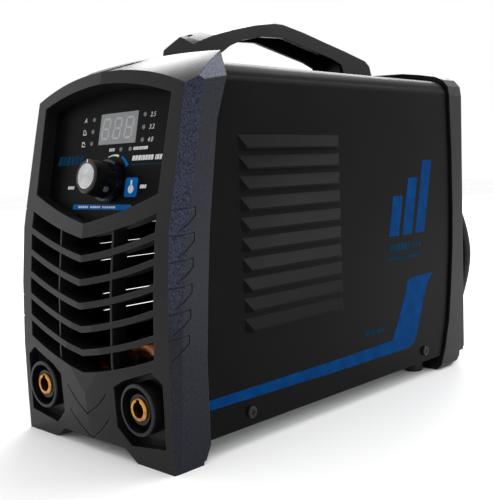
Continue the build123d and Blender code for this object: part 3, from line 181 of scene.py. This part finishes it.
swept = COIL_TURNS * math.tau + LAST_TURN - FIRST_TURN
coil_steps = round(TURN_POINTS * swept / math.tau)
coil_line = [coil_point(FIRST_TURN + swept * n / coil_steps) for n in range(coil_steps + 1)]
lead_line = [EXIT + Vector(p) * MM for p in LEAD]
tail_line = [Vector((x, COIL_Y + y, z)) * MM for x, y, z in TAIL]
cord = smooth_curve("mains_cord", lead_line + coil_line + tail_line, CORD_WIDE, cord_rubber)
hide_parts("mains_cord_lead", "mains_cord_coil", "mains_cord_tail")
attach(cord, "root")


def mesh_piece(name, build, material, body="root", smooth=False):
    """Makes an object from a function that fills a bmesh, and lets it ride on a body."""
    mesh = bpy.data.meshes.new(name)
    work = bmesh.new()
    build(work)
    bmesh.ops.recalc_face_normals(work, faces=work.faces)
    work.to_mesh(mesh)
    work.free()
    for face in mesh.polygons:
        face.use_smooth = smooth
    mesh.materials.append(material)
    made = bpy.data.objects.new(name, mesh)
    bpy.context.scene.collection.objects.link(made)
    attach(made, body)
    return made


# Hook-and-loop strap, woven nylon 12 mm wide, wrapped once round the coil's left side.
STRAP_WIDE = 12.0 * MM
STRAP_T = 1.2 * MM
STRAP_HALF = 12.6 * MM
STRAP_ROUND = 7.0 * MM
STRAP_STEPS = 6


def strap_loop(grow):
    """Rounded square that the strap follows, as (across, depth) pairs."""
    pairs = []
    flat = STRAP_HALF - STRAP_ROUND
    for corner, (sx, sy) in enumerate(((1, 1), (-1, 1), (-1, -1), (1, -1))):
        for step in range(STRAP_STEPS + 1):
            angle = math.radians(90 * corner + 90 * step / STRAP_STEPS)
            pairs.append((sx * flat + (STRAP_ROUND + grow) * math.cos(angle),
                          sy * flat + (STRAP_ROUND + grow) * math.sin(angle)))
    return pairs


def build_strap(work):
    rings = []
    for grow, up in ((0, -0.5), (STRAP_T, -0.5), (STRAP_T, 0.5), (0, 0.5)):
        spots = []
        for across, depth in strap_loop(grow):
            flat = Vector((-COIL_WIDE * MM + across, depth, up * STRAP_WIDE))
            spots.append(work.verts.new(coil_middle + Matrix.Rotation(COIL_LEAN, 3, "X") @ flat))
        rings.append(spots)
    count = len(rings[0])
    for ring, following in zip(rings, rings[1:] + rings[:1]):
        for n in range(count):
            work.faces.new((ring[n], ring[(n + 1) % count], following[(n + 1) % count], following[n]))


# Woven loop tape: threads 0.8 mm apart, drawn as crossed ribs, so the strap is dull and slightly grey.
strap_tape, place = start_material("woven_nylon_tape")
ribs = add(strap_tape, "ShaderNodeTexWave", bands_direction="Z",
           inputs={"Vector": (place, 3), "Scale": 1 / (2.4 * MM), "Distortion": 1.0})
bump = add(strap_tape, "ShaderNodeBump", {"Height": (ribs, 1), "Strength": 0.7, "Distance": 0.3 * MM})
close_material(strap_tape, {"Base Color": between(strap_tape, (ribs, 1), "#131314", "#262628"),
                            "Roughness": 0.85, "Sheen Weight": 0.3, "Normal": bump})
strap = mesh_piece("cord_strap", build_strap, strap_tape, smooth=True)
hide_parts("cord_tie")
dress(cord_rubber, "strain_relief", "plug_body")

# ---------------------------------------------------------------- case mouldings
# Front and rear bezels and the handle: glass-filled nylon, injection moulded in spark-eroded tools. That
# leaves a dull even grain. On the front bezel's outer side walls, light is painted into the colour: a bluish
# painted highlight on the side bevels and darker painted shade on the upright band.
NYLON_GRAIN = 1.0 * MM


def edge_light(material, radius):
    """How close a point is to a rubbed edge: 0 on flats, about 1 on edges within the radius."""
    soft = add(material, "ShaderNodeBevel", {"Radius": radius}, samples=4)
    plain = add(material, "ShaderNodeNewGeometry")
    turn = add(material, "ShaderNodeVectorMath", {0: soft, 1: (plain, 1)}, operation="DOT_PRODUCT")
    edge = add(material, "ShaderNodeMapRange", {"Value": (turn, 1), "From Min": 1.0, "From Max": 0.8})
    return soft, edge


def moulded_nylon(name, dark, light, rubbed, depth, rough):
    """Grained nylon with paler edges where it has been handled."""
    material, spot = start_material(name)
    soft, edge = edge_light(material, 0.7 * MM)
    speck = grain(material, spot, NYLON_GRAIN, 3.0)
    cloud = grain(material, spot, 40 * MM)
    shade = between(material, speck, dark, light)
    worn = add(material, "ShaderNodeMix", {0: edge, 6: shade, 7: linear(rubbed)}, data_type="RGBA")
    bump = add(material, "ShaderNodeBump",
               {"Height": speck, "Strength": 0.55, "Distance": depth, "Normal": soft})
    return close_material(material, {"Base Color": (worn, 2), "Specular IOR Level": 0.15, "Normal": bump,
                                     "Roughness": spread(material, cloud, rough, rough + 0.08)})


handle_nylon = moulded_nylon("grained_nylon_handle", "#0a0b0c", "#121314", "#262729", 0.05 * MM, 0.24)
rear_nylon = moulded_nylon("grained_nylon_rear", "#0a0b0c", "#111213", "#232426", 0.06 * MM, 0.30)
dress(handle_nylon, "handle")
dress(rear_nylon, "rear_bezel")

# On the front bezel only the outer side walls get this painted light, picked by which way each faces.
INNER_WALLS = 66.5 * MM   # the grille and the panel recess lie closer to the middle than this
front_nylon, place = start_material("grained_nylon_front_painted_side_light")
soft, edge = edge_light(front_nylon, 0.7 * MM)
speck = grain(front_nylon, place, NYLON_GRAIN, 3.0)
crisp = grain(front_nylon, place, NYLON_GRAIN, 4.0)
face_shade = between(front_nylon, speck, "#0e0e0f", "#171719")
# Painted light: a paler bluish painted highlight for the slanted bevels, a darker painted shade for the upright
# band.
bevel_painted_highlight = between(front_nylon, crisp, "#0b0e18", "#434860")
band_painted_shade = between(front_nylon, crisp, "#06070d", "#1a1d2a")
facing = add(front_nylon, "ShaderNodeSeparateXYZ", {"Vector": (place, 1)})
sides = add(front_nylon, "ShaderNodeMath", {0: (facing, 0)}, operation="ABSOLUTE")
sideways = add(front_nylon, "ShaderNodeMapRange", {"Value": sides, "From Min": 0.5, "From Max": 0.7})
spot = add(front_nylon, "ShaderNodeSeparateXYZ", {"Vector": (place, 3)})
off_middle = add(front_nylon, "ShaderNodeMath", {0: (spot, 0)}, operation="ABSOLUTE")
outside = add(front_nylon, "ShaderNodeMapRange",
              {"Value": off_middle, "From Min": INNER_WALLS, "From Max": INNER_WALLS + 1.0 * MM})
bevel = add(front_nylon, "ShaderNodeMath", {0: sideways, 1: outside}, operation="MULTIPLY")
# Walls that face almost straight sideways take the painted shade instead of the painted highlight.
band = add(front_nylon, "ShaderNodeMapRange", {"Value": sides, "From Min": 0.90, "From Max": 0.97})
side_painted_light = add(front_nylon, "ShaderNodeMix", {0: band, 6: bevel_painted_highlight, 7: band_painted_shade}, data_type="RGBA")
both = add(front_nylon, "ShaderNodeMix", {0: bevel, 6: face_shade, 7: (side_painted_light, 2)}, data_type="RGBA")
worn = add(front_nylon, "ShaderNodeMix", {0: edge, 6: (both, 2), 7: linear("#2c2d2f")}, data_type="RGBA")
height = add(front_nylon, "ShaderNodeMix", {0: bevel, 2: speck, 3: crisp}, data_type="FLOAT")
bump = add(front_nylon, "ShaderNodeBump",
           {"Height": height, "Strength": 0.55, "Distance": 0.12 * MM, "Normal": soft})
close_material(front_nylon, {"Base Color": (worn, 2), "Roughness": 0.34, "Specular IOR Level": 0.15,
                             "Normal": bump})
dress(front_nylon, "front_bezel")

# ---------------------------------------------------------------- cover, tray and their screws
# The cover is 1.2 mm steel, pressed with louvres, folded and powder coated satin black: a soft gloss over a
# faint orange peel. The tray is bare zinc-plated steel, and the screws are blackened steel.
powder_coat, place = start_material("powder_coated_steel")
soft, edge = edge_light(powder_coat, 0.6 * MM)
peel = grain(powder_coat, place, 1.6 * MM)
cloud = grain(powder_coat, place, 60 * MM)
coat = between(powder_coat, cloud, "#060606", "#090909")
worn = add(powder_coat, "ShaderNodeMix", {0: edge, 6: coat, 7: linear("#1a1a1c")}, data_type="RGBA")
bump = add(powder_coat, "ShaderNodeBump",
           {"Height": peel, "Strength": 0.3, "Distance": 0.05 * MM, "Normal": soft})
close_material(powder_coat, {"Base Color": (worn, 2), "Roughness": spread(powder_coat, cloud, 0.32, 0.38),
                             "Specular IOR Level": 0.04, "Normal": bump})
dress(powder_coat, "cover")


def plated(name, dark, light, rough, metallic=1.0):
    """Plated or blackened metal with a slightly cloudy coat and fine scratches."""
    material, spot = start_material(name)
    cloud = grain(material, spot, 9 * MM, 4.0)
    scratch = grain(material, spot, 0.7 * MM)
    bump = add(material, "ShaderNodeBump", {"Height": scratch, "Strength": 0.2, "Distance": 0.03 * MM})
    return close_material(material, {"Base Color": between(material, cloud, dark, light),
                                     "Metallic": metallic, "Normal": bump,
                                     "Roughness": spread(material, cloud, rough, rough + 0.12)})


zinc = plated("zinc_plated_steel", "#9a9d9f", "#c3c5c4", 0.32)
black_oxide = plated("blackened_steel", "#1a1a1b", "#2b2b2c", 0.38, 0.8)
dress(zinc, "base_tray", "handle_screws", "board_screws", "encoder_nut", "encoder_body", "encoder_shaft",
      "knob_set_screw", "socket_nuts")
dress(black_oxide, "cover_screws", "bezel_screws", "fan_screws")
dress(cord_rubber, "rubber_feet")

# Side graphics: screen-printed blue stripe that turns up at the rear, with a plain three-bar mark and rows of
# short dashes in place of words. The same print is on both sides, mirrored.
# Places on the side are millimetres behind the front bezel's keel and above the floor.
COVER_HALF = 73.0 * MM    # the cover's flat sides, from the middle
REST_SET = 20.0 * MM      # the rest mount lies this far behind the keel
KEEL = frame["record"]["mounts"][2]["pos_m"][1] - REST_SET
PRINT_T = 0.08 * MM
STRIPE = [(36.0, 30.2), (36.0, 36.1), (153.0, 36.3), (229.1, 37.2), (234.8, 45.0), (245.9, 65.4),
          (252.4, 80.5), (258.4, 82.2), (288.2, 82.5), (282.0, 76.9), (274.5, 62.5), (266.4, 42.4),
          (261.0, 31.3), (252.6, 27.5), (152.6, 28.2)]
MARK_BARS = [(228.0, 30.0), (246.0, 43.0), (264.0, 56.0)]     # where each bar starts, and its height
MARK_WIDE = 13.0
MARK_FOOT = 116.0
MARK_SLANT = 0.22


def prism(work, outline, place_at, low, high):
    """Closed thin slab: an outline in a plane, between two heights over it."""
    lower = [work.verts.new(place_at(u, v, low)) for u, v in outline]
    upper = [work.verts.new(place_at(u, v, high)) for u, v in outline]
    count = len(outline)
    work.faces.new(list(reversed(lower)))
    work.faces.new(upper)
    for n in range(count):
        work.faces.new((lower[n], lower[(n + 1) % count], upper[(n + 1) % count], upper[n]))


def dashes(start, low, tall, widths, gap=0.7, slant=0.15):
    """Row of short slanted blocks that stands for a line of print. A negative width is a space."""
    outlines = []
    for width in widths:
        if width > 0:
            outlines.append([(start, low), (start + width, low), (start + width + slant * tall, low + tall),
                             (start + slant * tall, low + tall)])
        start += abs(width) + gap
    return outlines


def side_place(side):
    """Places points on one side of the cover."""
    return lambda depth, up, out: Vector((side * (COVER_HALF + out), KEEL + depth * MM, up * MM))


INK_GAP = 0.02 * MM       # ink to the face it is printed on


def printed(outlines, place_at, base=INK_GAP):
    """Builder of a layer of ink with these outlines."""
    def build(work):
        for outline in outlines:
            prism(work, outline, place_at, base, base + PRINT_T)
    return build


# Epoxy screen ink over powder coat: flat, even colour with a soft gloss, thinner at its edges.
def screen_ink(name, dark, light, rough=0.55):
    material, spot = start_material(name)
    cloud = grain(material, spot, 12 * MM, 3.0)
    fine = grain(material, spot, 1.2 * MM)
    bump = add(material, "ShaderNodeBump", {"Height": fine, "Strength": 0.2, "Distance": 0.03 * MM})
    return close_material(material, {"Base Color": between(material, cloud, dark, light),
                                     "Roughness": spread(material, fine, rough, rough + 0.08),
                                     "Specular IOR Level": 0.02, "Normal": bump})


blue_ink = screen_ink("screen_ink_blue", "#002c5a", "#00366a")
dim_ink = screen_ink("screen_ink_deep_blue", "#052536", "#093048")
mark = []
for y, tall in MARK_BARS:
    mark += dashes(y, MARK_FOOT, tall, [MARK_WIDE], slant=MARK_SLANT)
words = dashes(228, 104, 6.0, (4, 3, 5, 3, 4, 3), 1.0) + dashes(257, 105, 4.0, (2.4, 3, 2.4, 3.4), 0.9)
words += dashes(227, 97.5, 2.6,
                (2, 1.6, 2.4, 1.8, 2.2, 1.6, 2, 2.4, 1.8, 2, 1.6, 2.4, 2, 1.8, 2.2, 2, 1.8), 0.8)
words += dashes(195, 46, 3.6, (2.2, 2.6, 1.8, 2.4, -2, 3, 2.4, 1.8), 0.8)
for side, name in ((-1, "left"), (1, "right")):
    place_at = side_place(side)
    mesh_piece(f"side_stripe_{name}", printed([STRIPE] + mark, place_at), blue_ink)
    mesh_piece(f"side_print_{name}", printed(words, place_at), dim_ink)

# ---------------------------------------------------------------- output sockets
# Brass contacts, turned and left bright, in black glass-filled nylon insulators. The bore's inside is
# tarnished, so the mouth shines as a gold ring round a brown hole.
brass, place = start_material("turned_brass")
rings = grain(brass, place, 0.8 * MM)
tarnish = grain(brass, place, 4 * MM, 4.0)
bump = add(brass, "ShaderNodeBump", {"Height": rings, "Strength": 0.25, "Distance": 0.03 * MM})
close_material(brass, {"Base Color": between(brass, tarnish, "#a06a2c", "#c8924a"), "Metallic": 1.0,
                       "Roughness": spread(brass, rings, 0.20, 0.32), "Normal": bump})
dress(brass, "socket_contact_left", "socket_contact_right", "board_standoffs", "earth_bolt", "plug_pins")


def smooth_moulding(name, dark, light, rough, coat=0.0):
    """Moulded plastic from a polished tool: an even gloss with slight flow clouding."""
    material, spot = start_material(name)
    cloud = grain(material, spot, 7 * MM, 3.0)
    fine = grain(material, spot, 0.9 * MM)
    bump = add(material, "ShaderNodeBump", {"Height": fine, "Strength": 0.15, "Distance": 0.03 * MM})
    return close_material(material, {"Base Color": between(material, cloud, dark, light),
                                     "Roughness": spread(material, cloud, rough, rough + 0.08),
                                     "Specular IOR Level": 0.25, "Coat Weight": coat, "Normal": bump})


socket_nylon = smooth_moulding("glass_filled_nylon_insulator", "#08080a", "#0e0e10", 0.34)
black_nylon = smooth_moulding("moulded_nylon_black", "#0b0b0c", "#121213", 0.38)
dress(socket_nylon, "socket_insulator_left", "socket_insulator_right")
dress(black_nylon, "board_spacers", "encoder_plunger", "fan_frame", "fan_rotor", "power_switch_body",
      "cable_gland", "gland_locknut")

# ---------------------------------------------------------------- control panel
# A 1.5 mm plate faced with printed polyester film: dull black, with white and blue legends. The display is a
# three-digit module behind a smoked lens, and its unlit segments show paler than the grey behind them.
turn_joint = next(joint for joint in frame["joints"] if joint["name"] == "knob_turn")
OUTWARD = -Vector(turn_joint["axis"]).normalized()
PANEL_X = Vector((1, 0, 0))
PANEL_UP = OUTWARD.cross(PANEL_X)
KNOB_AT = Vector(turn_joint["pos_m"])
LAYOUT_U, KNOB_V = 4.5, -19.5
PLATE_DEEP = 10.0 * MM
panel_middle = KNOB_AT - PANEL_X * LAYOUT_U * MM - PANEL_UP * KNOB_V * MM


def panel_place(u, v, out, deep=PLATE_DEEP):
    """Point of the panel: millimetres right and up from its centre, metres out from the plate."""
    return panel_middle + PANEL_X * u * MM + PANEL_UP * v * MM + OUTWARD * (out - deep)


film, place = start_material("printed_polyester_film")
fine = grain(film, place, 0.8 * MM)
cloud = grain(film, place, 25 * MM)
bump = add(film, "ShaderNodeBump", {"Height": fine, "Strength": 0.25, "Distance": 0.03 * MM})
close_material(film, {"Base Color": between(film, cloud, "#030304", "#060607"),
                      "Roughness": spread(film, fine, 0.42, 0.52), "Specular IOR Level": 0.05,
                      "Normal": bump})
dress(film, "control_panel_plate")

lens = smooth_moulding("smoked_acrylic_lens", "#6f7072", "#77787a", 0.3)
segment_grey = smooth_moulding("unlit_segment", "#8d8e8f", "#969797", 0.3)
lamp_epoxy = smooth_moulding("diffused_epoxy_lamp", "#595a5e", "#67686b", 0.4)
dress(lens, "display_window")
dress(black_nylon, "display_module")
dress(lamp_epoxy, "indicator_lamps")

WINDOW_V = 14.2
DIGIT_WIDE, DIGIT_TALL, DIGIT_STEP, DIGIT_BAR = 6.6, 12.6, 11.6, 1.5
DIGIT_SLANT = 0.12
DIGIT_SHIFT = -0.6        # the digits stand this far left of the window's middle
BAR_GAP = 0.2             # between the ends of two bars
LENS_DEEP = 0.3 * MM      # the lens lies this far behind the plate's face


def segments(middle_u, middle_v):
    """The seven bars of a digit, each a bar with pointed ends."""
    half, tall, bar = DIGIT_WIDE / 2, DIGIT_TALL / 2, DIGIT_BAR / 2
    runs = [((-half, y), (half, y)) for y in (-tall, 0, tall)]
    runs += [((x, y), (x, y + tall)) for x in (-half, half) for y in (-tall, 0)]
    outlines = []
    for (x0, y0), (x1, y1) in runs:
        along = (Vector((x1, y1)) - Vector((x0, y0))).normalized()
        across = Vector((-along.y, along.x)) * bar
        first = Vector((x0, y0)) + along * BAR_GAP
        last = Vector((x1, y1)) - along * BAR_GAP
        corners = [first, first + along * bar - across, last - along * bar - across, last,
                   last - along * bar + across, first + along * bar + across]
        outlines.append([(middle_u + c.x + DIGIT_SLANT * c.y, middle_v + c.y) for c in corners])
    return outlines


digits = []
for n in (-1, 0, 1):
    digits += segments(LAYOUT_U + n * DIGIT_STEP + DIGIT_SHIFT, WINDOW_V)
mesh_piece("display_segments", printed(digits, panel_place, -LENS_DEEP + INK_GAP / 2), segment_grey)


def disc(u, v, r, steps=24):
    """Circle."""
    angles = [math.tau * n / steps for n in range(steps)]
    return [(u + r * math.cos(angle), v + r * math.sin(angle)) for angle in angles]


def arc_band(u, v, r, wide_first, wide_last, first, last, steps=20):
    """Part of a ring that changes width along it, from one angle to another, in degrees."""
    outer, inner = [], []
    for n in range(steps + 1):
        angle = math.radians(first + (last - first) * n / steps)
        half = (wide_first + (wide_last - wide_first) * n / steps) / 2
        outer.append((u + (r + half) * math.cos(angle), v + (r + half) * math.sin(angle)))
        inner.append((u + (r - half) * math.cos(angle), v + (r - half) * math.sin(angle)))
    return outer + inner[::-1]


def rounded(u0, u1, v0, v1, r, steps=5):
    """Rectangle with round corners."""
    spots = []
    for n, (u, v) in enumerate(((u1 - r, v1 - r), (u0 + r, v1 - r), (u0 + r, v0 + r), (u1 - r, v0 + r))):
        for step in range(steps + 1):
            angle = math.radians(90 * n + 90 * step / steps)
            spots.append((u + r * math.cos(angle), v + r * math.sin(angle)))
    return spots


# White legends: current letter, two output curves, rod diameters, scale and dashes in place of words.
white_ink = screen_ink("screen_ink_white", "#b9babc", "#c9cacb")
legend = []
for v in (13.3, 5.5):
    u = -31.5
    legend.append([(u, v - 1.8), (u + 3.6, v - 1.8), (u + 3.6, v - 1.3), (u, v - 1.3)])
    legend.append([(u, v - 1.3), (u + 0.5, v - 1.3), (u + 0.5, v + 1.6), (u, v + 1.6)])
legend.append([(-30.6, 14.9), (-28.2, 12.1), (-27.8, 12.4), (-30.2, 15.2)])
legend.append([(-31.0, 6.3), (-29.8, 7.3), (-28.0, 5.2), (-28.4, 4.9), (-29.8, 6.6), (-30.8, 5.9)])
legend += dashes(-1.5, -0.4, 1.9, (1.4, 1.4, 1.5), 0.5)
legend += dashes(22.5, -0.4, 1.9, (1.3, 1.3, 1.2, 0.6, 1.3, 1.2, 0.6, 1.3, 1.4), 0.4)
legend += dashes(22.5, -6.9, 3.0, (2.4, 2.2, 2.4, 0.9, 2.0, 2.0, 2.0, 2.2, -0.8, 1.0, 2.0, 2.0), 0.5)
legend += dashes(-41.5, -24.0, 2.0, (1.4, 1.1, 1.2, 1.0, 0.6), 0.4)
legend += dashes(33.0, -24.0, 2.2, (1.6, 1.7, 1.6), 0.4)
legend.append(arc_band(LAYOUT_U, KNOB_V, 16.5, 0.4, 1.5, 112, 74))
mesh_piece("panel_legend_white", printed(legend, panel_place), white_ink)

SIGNS = [("A", -31.8, 19.6, 3.4), ("2.5", 35.0, 19.3, 3.0), ("3.2", 35.0, 11.8, 3.0), ("4.0", 35.0, 4.1, 3.0)]
SIZE_OVER_HEIGHT = 1.35   # text size over the height of its capitals
for n, (sign, u, v, tall) in enumerate(SIGNS):
    text = bpy.data.curves.new(f"panel_sign_{n}", "FONT")
    text.body = sign
    text.size = tall * SIZE_OVER_HEIGHT * MM
    text.shear = 0.2
    text.extrude = PRINT_T / 2
    text.materials.append(white_ink)
    made = bpy.data.objects.new(f"panel_sign_{n}", text)
    facing_out = Matrix((PANEL_X, PANEL_UP, OUTWARD)).transposed().to_quaternion()
    made.matrix_world = Matrix.LocRotScale(panel_place(u, v, INK_GAP + PRINT_T / 2), facing_out, None)
    bpy.context.scene.collection.objects.link(made)
    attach(made, "root")

# Blue legends: a bar under the knob, the arc's far end, the press symbol's square and rows of dashes. The
# white on them is a second pass of ink, over the first.
OVERPRINT = 0.12 * MM
bright_ink = screen_ink("screen_ink_bright_blue", "#065090", "#0a5c9c")
blue = [rounded(-33, 27, -37.2, -33.9, 0.4), rounded(18.7, 30.6, -29.2, -17.4, 1.6)]
blue.append(arc_band(LAYOUT_U, KNOB_V, 17.0, 1.4, 2.4, 64, 34))
mesh_piece("panel_legend_blue", printed(blue, panel_place), bright_ink)
dim = dashes(-56, -8.0, 6.0, (4.2, 3.4, 4.0, 3.4, 4.4, 3.0), 0.9) + [rounded(22, 52, -9.8, -8.9, 0.3)]
mesh_piece("panel_legend_deep_blue", printed(dim, panel_place), dim_ink)
press = [disc(24.6, -24.4, 2.6), [(23.9, -22.6), (25.3, -22.6), (25.3, -18.9), (23.9, -18.9)]]
press += dashes(-27, -36.2, 1.3, (1.6, 1.9, 1.5, 1.8, 1.6, -1.2, 1.9, 1.6, 1.8, 1.5, 1.7, -1.2,
                                   1.8, 1.6, 1.9, 1.5, 1.7, 1.9), 0.5)
mesh_piece("panel_symbol", printed(press, panel_place, OVERPRINT), white_ink)

# ---------------------------------------------------------------- knob
# Moulded ABS knob with a turned aluminium cap pressed into its face. Facing the cap leaves fine circular
# grooves, which draw the light out into two opposite fans.
knob_abs = smooth_moulding("moulded_abs_knob", "#040405", "#080809", 0.25)
dress(knob_abs, "knob", "power_switch_rocker")

turned, place = start_material("turned_aluminium")
centred = add(turned, "ShaderNodeVectorMath", {0: (place, 3), 1: tuple(KNOB_AT)}, operation="SUBTRACT")
off_axis = add(turned, "ShaderNodeVectorMath", {0: centred, 1: tuple(OUTWARD)}, operation="CROSS_PRODUCT")
radius = add(turned, "ShaderNodeVectorMath", {0: off_axis}, operation="LENGTH")
groove = add(turned, "ShaderNodeMath", {0: (radius, 1), 1: math.tau / (0.45 * MM)}, operation="MULTIPLY")
wave = add(turned, "ShaderNodeMath", {0: groove}, operation="SINE")
bump = add(turned, "ShaderNodeBump", {"Height": wave, "Strength": 0.9, "Distance": 0.05 * MM})
close_material(turned, {"Base Color": linear("#b4b5b6"), "Metallic": 1.0, "Roughness": 0.18, "Normal": bump})
dress(turned, "knob_cap")

# A short white line is printed on the face's edge as the pointer.
KNOB_FACE = 19.4 * MM     # the knob's face over the plate
POINTER_IN, POINTER_OUT, POINTER_WIDE = 8.2, 10.2, 0.9
pointer = dashes(LAYOUT_U - POINTER_WIDE / 2, KNOB_V + POINTER_IN, POINTER_OUT - POINTER_IN, [POINTER_WIDE],
                 slant=0)
mesh_piece("knob_pointer", printed(pointer, panel_place, KNOB_FACE + INK_GAP), white_ink, body="knob")

# ---------------------------------------------------------------- inside the case
# Boards of green glass-epoxy, aluminium heatsinks, ferrite cores, taped windings and sleeved capacitors.
# They are only glimpsed through the grille and the fan.
board_green = smooth_moulding("solder_mask_green", "#0d4a2a", "#13602f", 0.3, 0.3)
ferrite = smooth_moulding("sintered_ferrite", "#2b2b2d", "#38383a", 0.6)
winding_tape = smooth_moulding("yellow_polyester_tape", "#a87a1e", "#c4922c", 0.4)
sleeve = smooth_moulding("capacitor_sleeve", "#101b3a", "#182650", 0.3, 0.3)
epoxy = smooth_moulding("moulded_epoxy_package", "#161617", "#202022", 0.5)
copper = plated("tinned_copper", "#b06a45", "#cf8a62", 0.3)
extruded = plated("extruded_aluminium", "#b9bbbd", "#d2d3d4", 0.34)
wire_steel = plated("chromed_wire", "#8f9193", "#b4b6b8", 0.18)
dress(board_green, "control_board", "power_board", "driver_board")
dress(ferrite, "transformer_core", "choke_core")
dress(winding_tape, "transformer_winding", "interference_choke")
dress(sleeve, "bulk_capacitors", "relay")
dress(epoxy, "power_transistors", "output_diodes", "bridge_rectifier")
dress(copper, "output_busbars", "choke_winding")
dress(extruded, "heatsinks")
dress(wire_steel, "fan_guard")

# ---------------------------------------------------------------- floor, light and camera
# A pale seamless floor in a bright surround. A large lamp behind and above lights the top facets, a second
# the rear edges, a low one behind the right the louvres' hoods, and two small ones the front.
floor_paint, place = start_material("matt_white_floor")
cloud = grain(floor_paint, place, 0.5)
close_material(floor_paint, {"Base Color": between(floor_paint, cloud, "#fafafa", "#fdfdfd"),
                             "Roughness": 0.7})
FLOOR_HALF = 6.0


def build_floor(work):
    corners = ((-1, -1), (1, -1), (1, 1), (-1, 1))
    work.faces.new([work.verts.new((x * FLOOR_HALF, y * FLOOR_HALF, 0)) for x, y in corners])


floor = mesh_piece("floor", build_floor, floor_paint)

world = bpy.data.worlds.new("studio")
world.use_nodes = True
world.node_tree.nodes["Background"].inputs["Color"].default_value = (1.0, 1.0, 1.0, 1.0)
world.node_tree.nodes["Background"].inputs["Strength"].default_value = 1.0
bpy.context.scene.world = world


CASE_MIDDLE = (0, 0, 0.12)


def softbox(name, spot, wide, tall, watts):
    """Rectangular lamp that faces the middle of the case."""
    light = bpy.data.lights.new(name, "AREA")
    light.shape = "RECTANGLE"
    light.size = wide
    light.size_y = tall
    light.energy = watts
    lamp = bpy.data.objects.new(name, light)
    lamp.location = spot
    lamp.rotation_euler = (Vector(CASE_MIDDLE) - Vector(spot)).to_track_quat("-Z", "Y").to_euler()
    bpy.context.scene.collection.objects.link(lamp)


softbox("back_light", (-1.4, 1.9, 1.7), 1.8, 1.0, 45)
softbox("rim_light", (0.35, 1.3, 1.5), 0.8, 0.5, 7)
softbox("louvre_light", (1.25, 1.45, 0.95), 0.8, 0.25, 7)
softbox("top_light", (0.5, -0.3, 0.85), 0.35, 0.35, 1.4)
softbox("front_light", (-1.6, -1.0, 0.55), 0.7, 0.9, 1.6)

AZIMUTH, PITCH, ROLL = math.radians(43.79), math.radians(5.76), math.radians(-2.22)
CAMERA_AT = Vector((414.46, -448.8, 171.38)) * MM
look = Vector((-math.sin(AZIMUTH) * math.cos(PITCH), math.cos(AZIMUTH) * math.cos(PITCH), -math.sin(PITCH)))
level = Vector((math.cos(AZIMUTH), math.sin(AZIMUTH), 0))
upright = level.cross(look)
right = level * math.cos(ROLL) + upright * math.sin(ROLL)
up = upright * math.cos(ROLL) - level * math.sin(ROLL)
lens_data = bpy.data.cameras.new("camera")
lens_data.sensor_fit = "HORIZONTAL"
lens_data.sensor_width = 36.0
lens_data.lens = 59.54
lens_data.clip_start = 0.01
camera = bpy.data.objects.new("camera", lens_data)
turn = Matrix((right, up, -look)).transposed().to_4x4()
camera.matrix_world = Matrix.Translation(CAMERA_AT) @ turn
bpy.context.scene.collection.objects.link(camera)
bpy.context.scene.camera = camera
bpy.context.scene.view_settings.view_transform = "Standard"


def plain(corners):
    return [[float(c) for c in corner] for corner in corners]
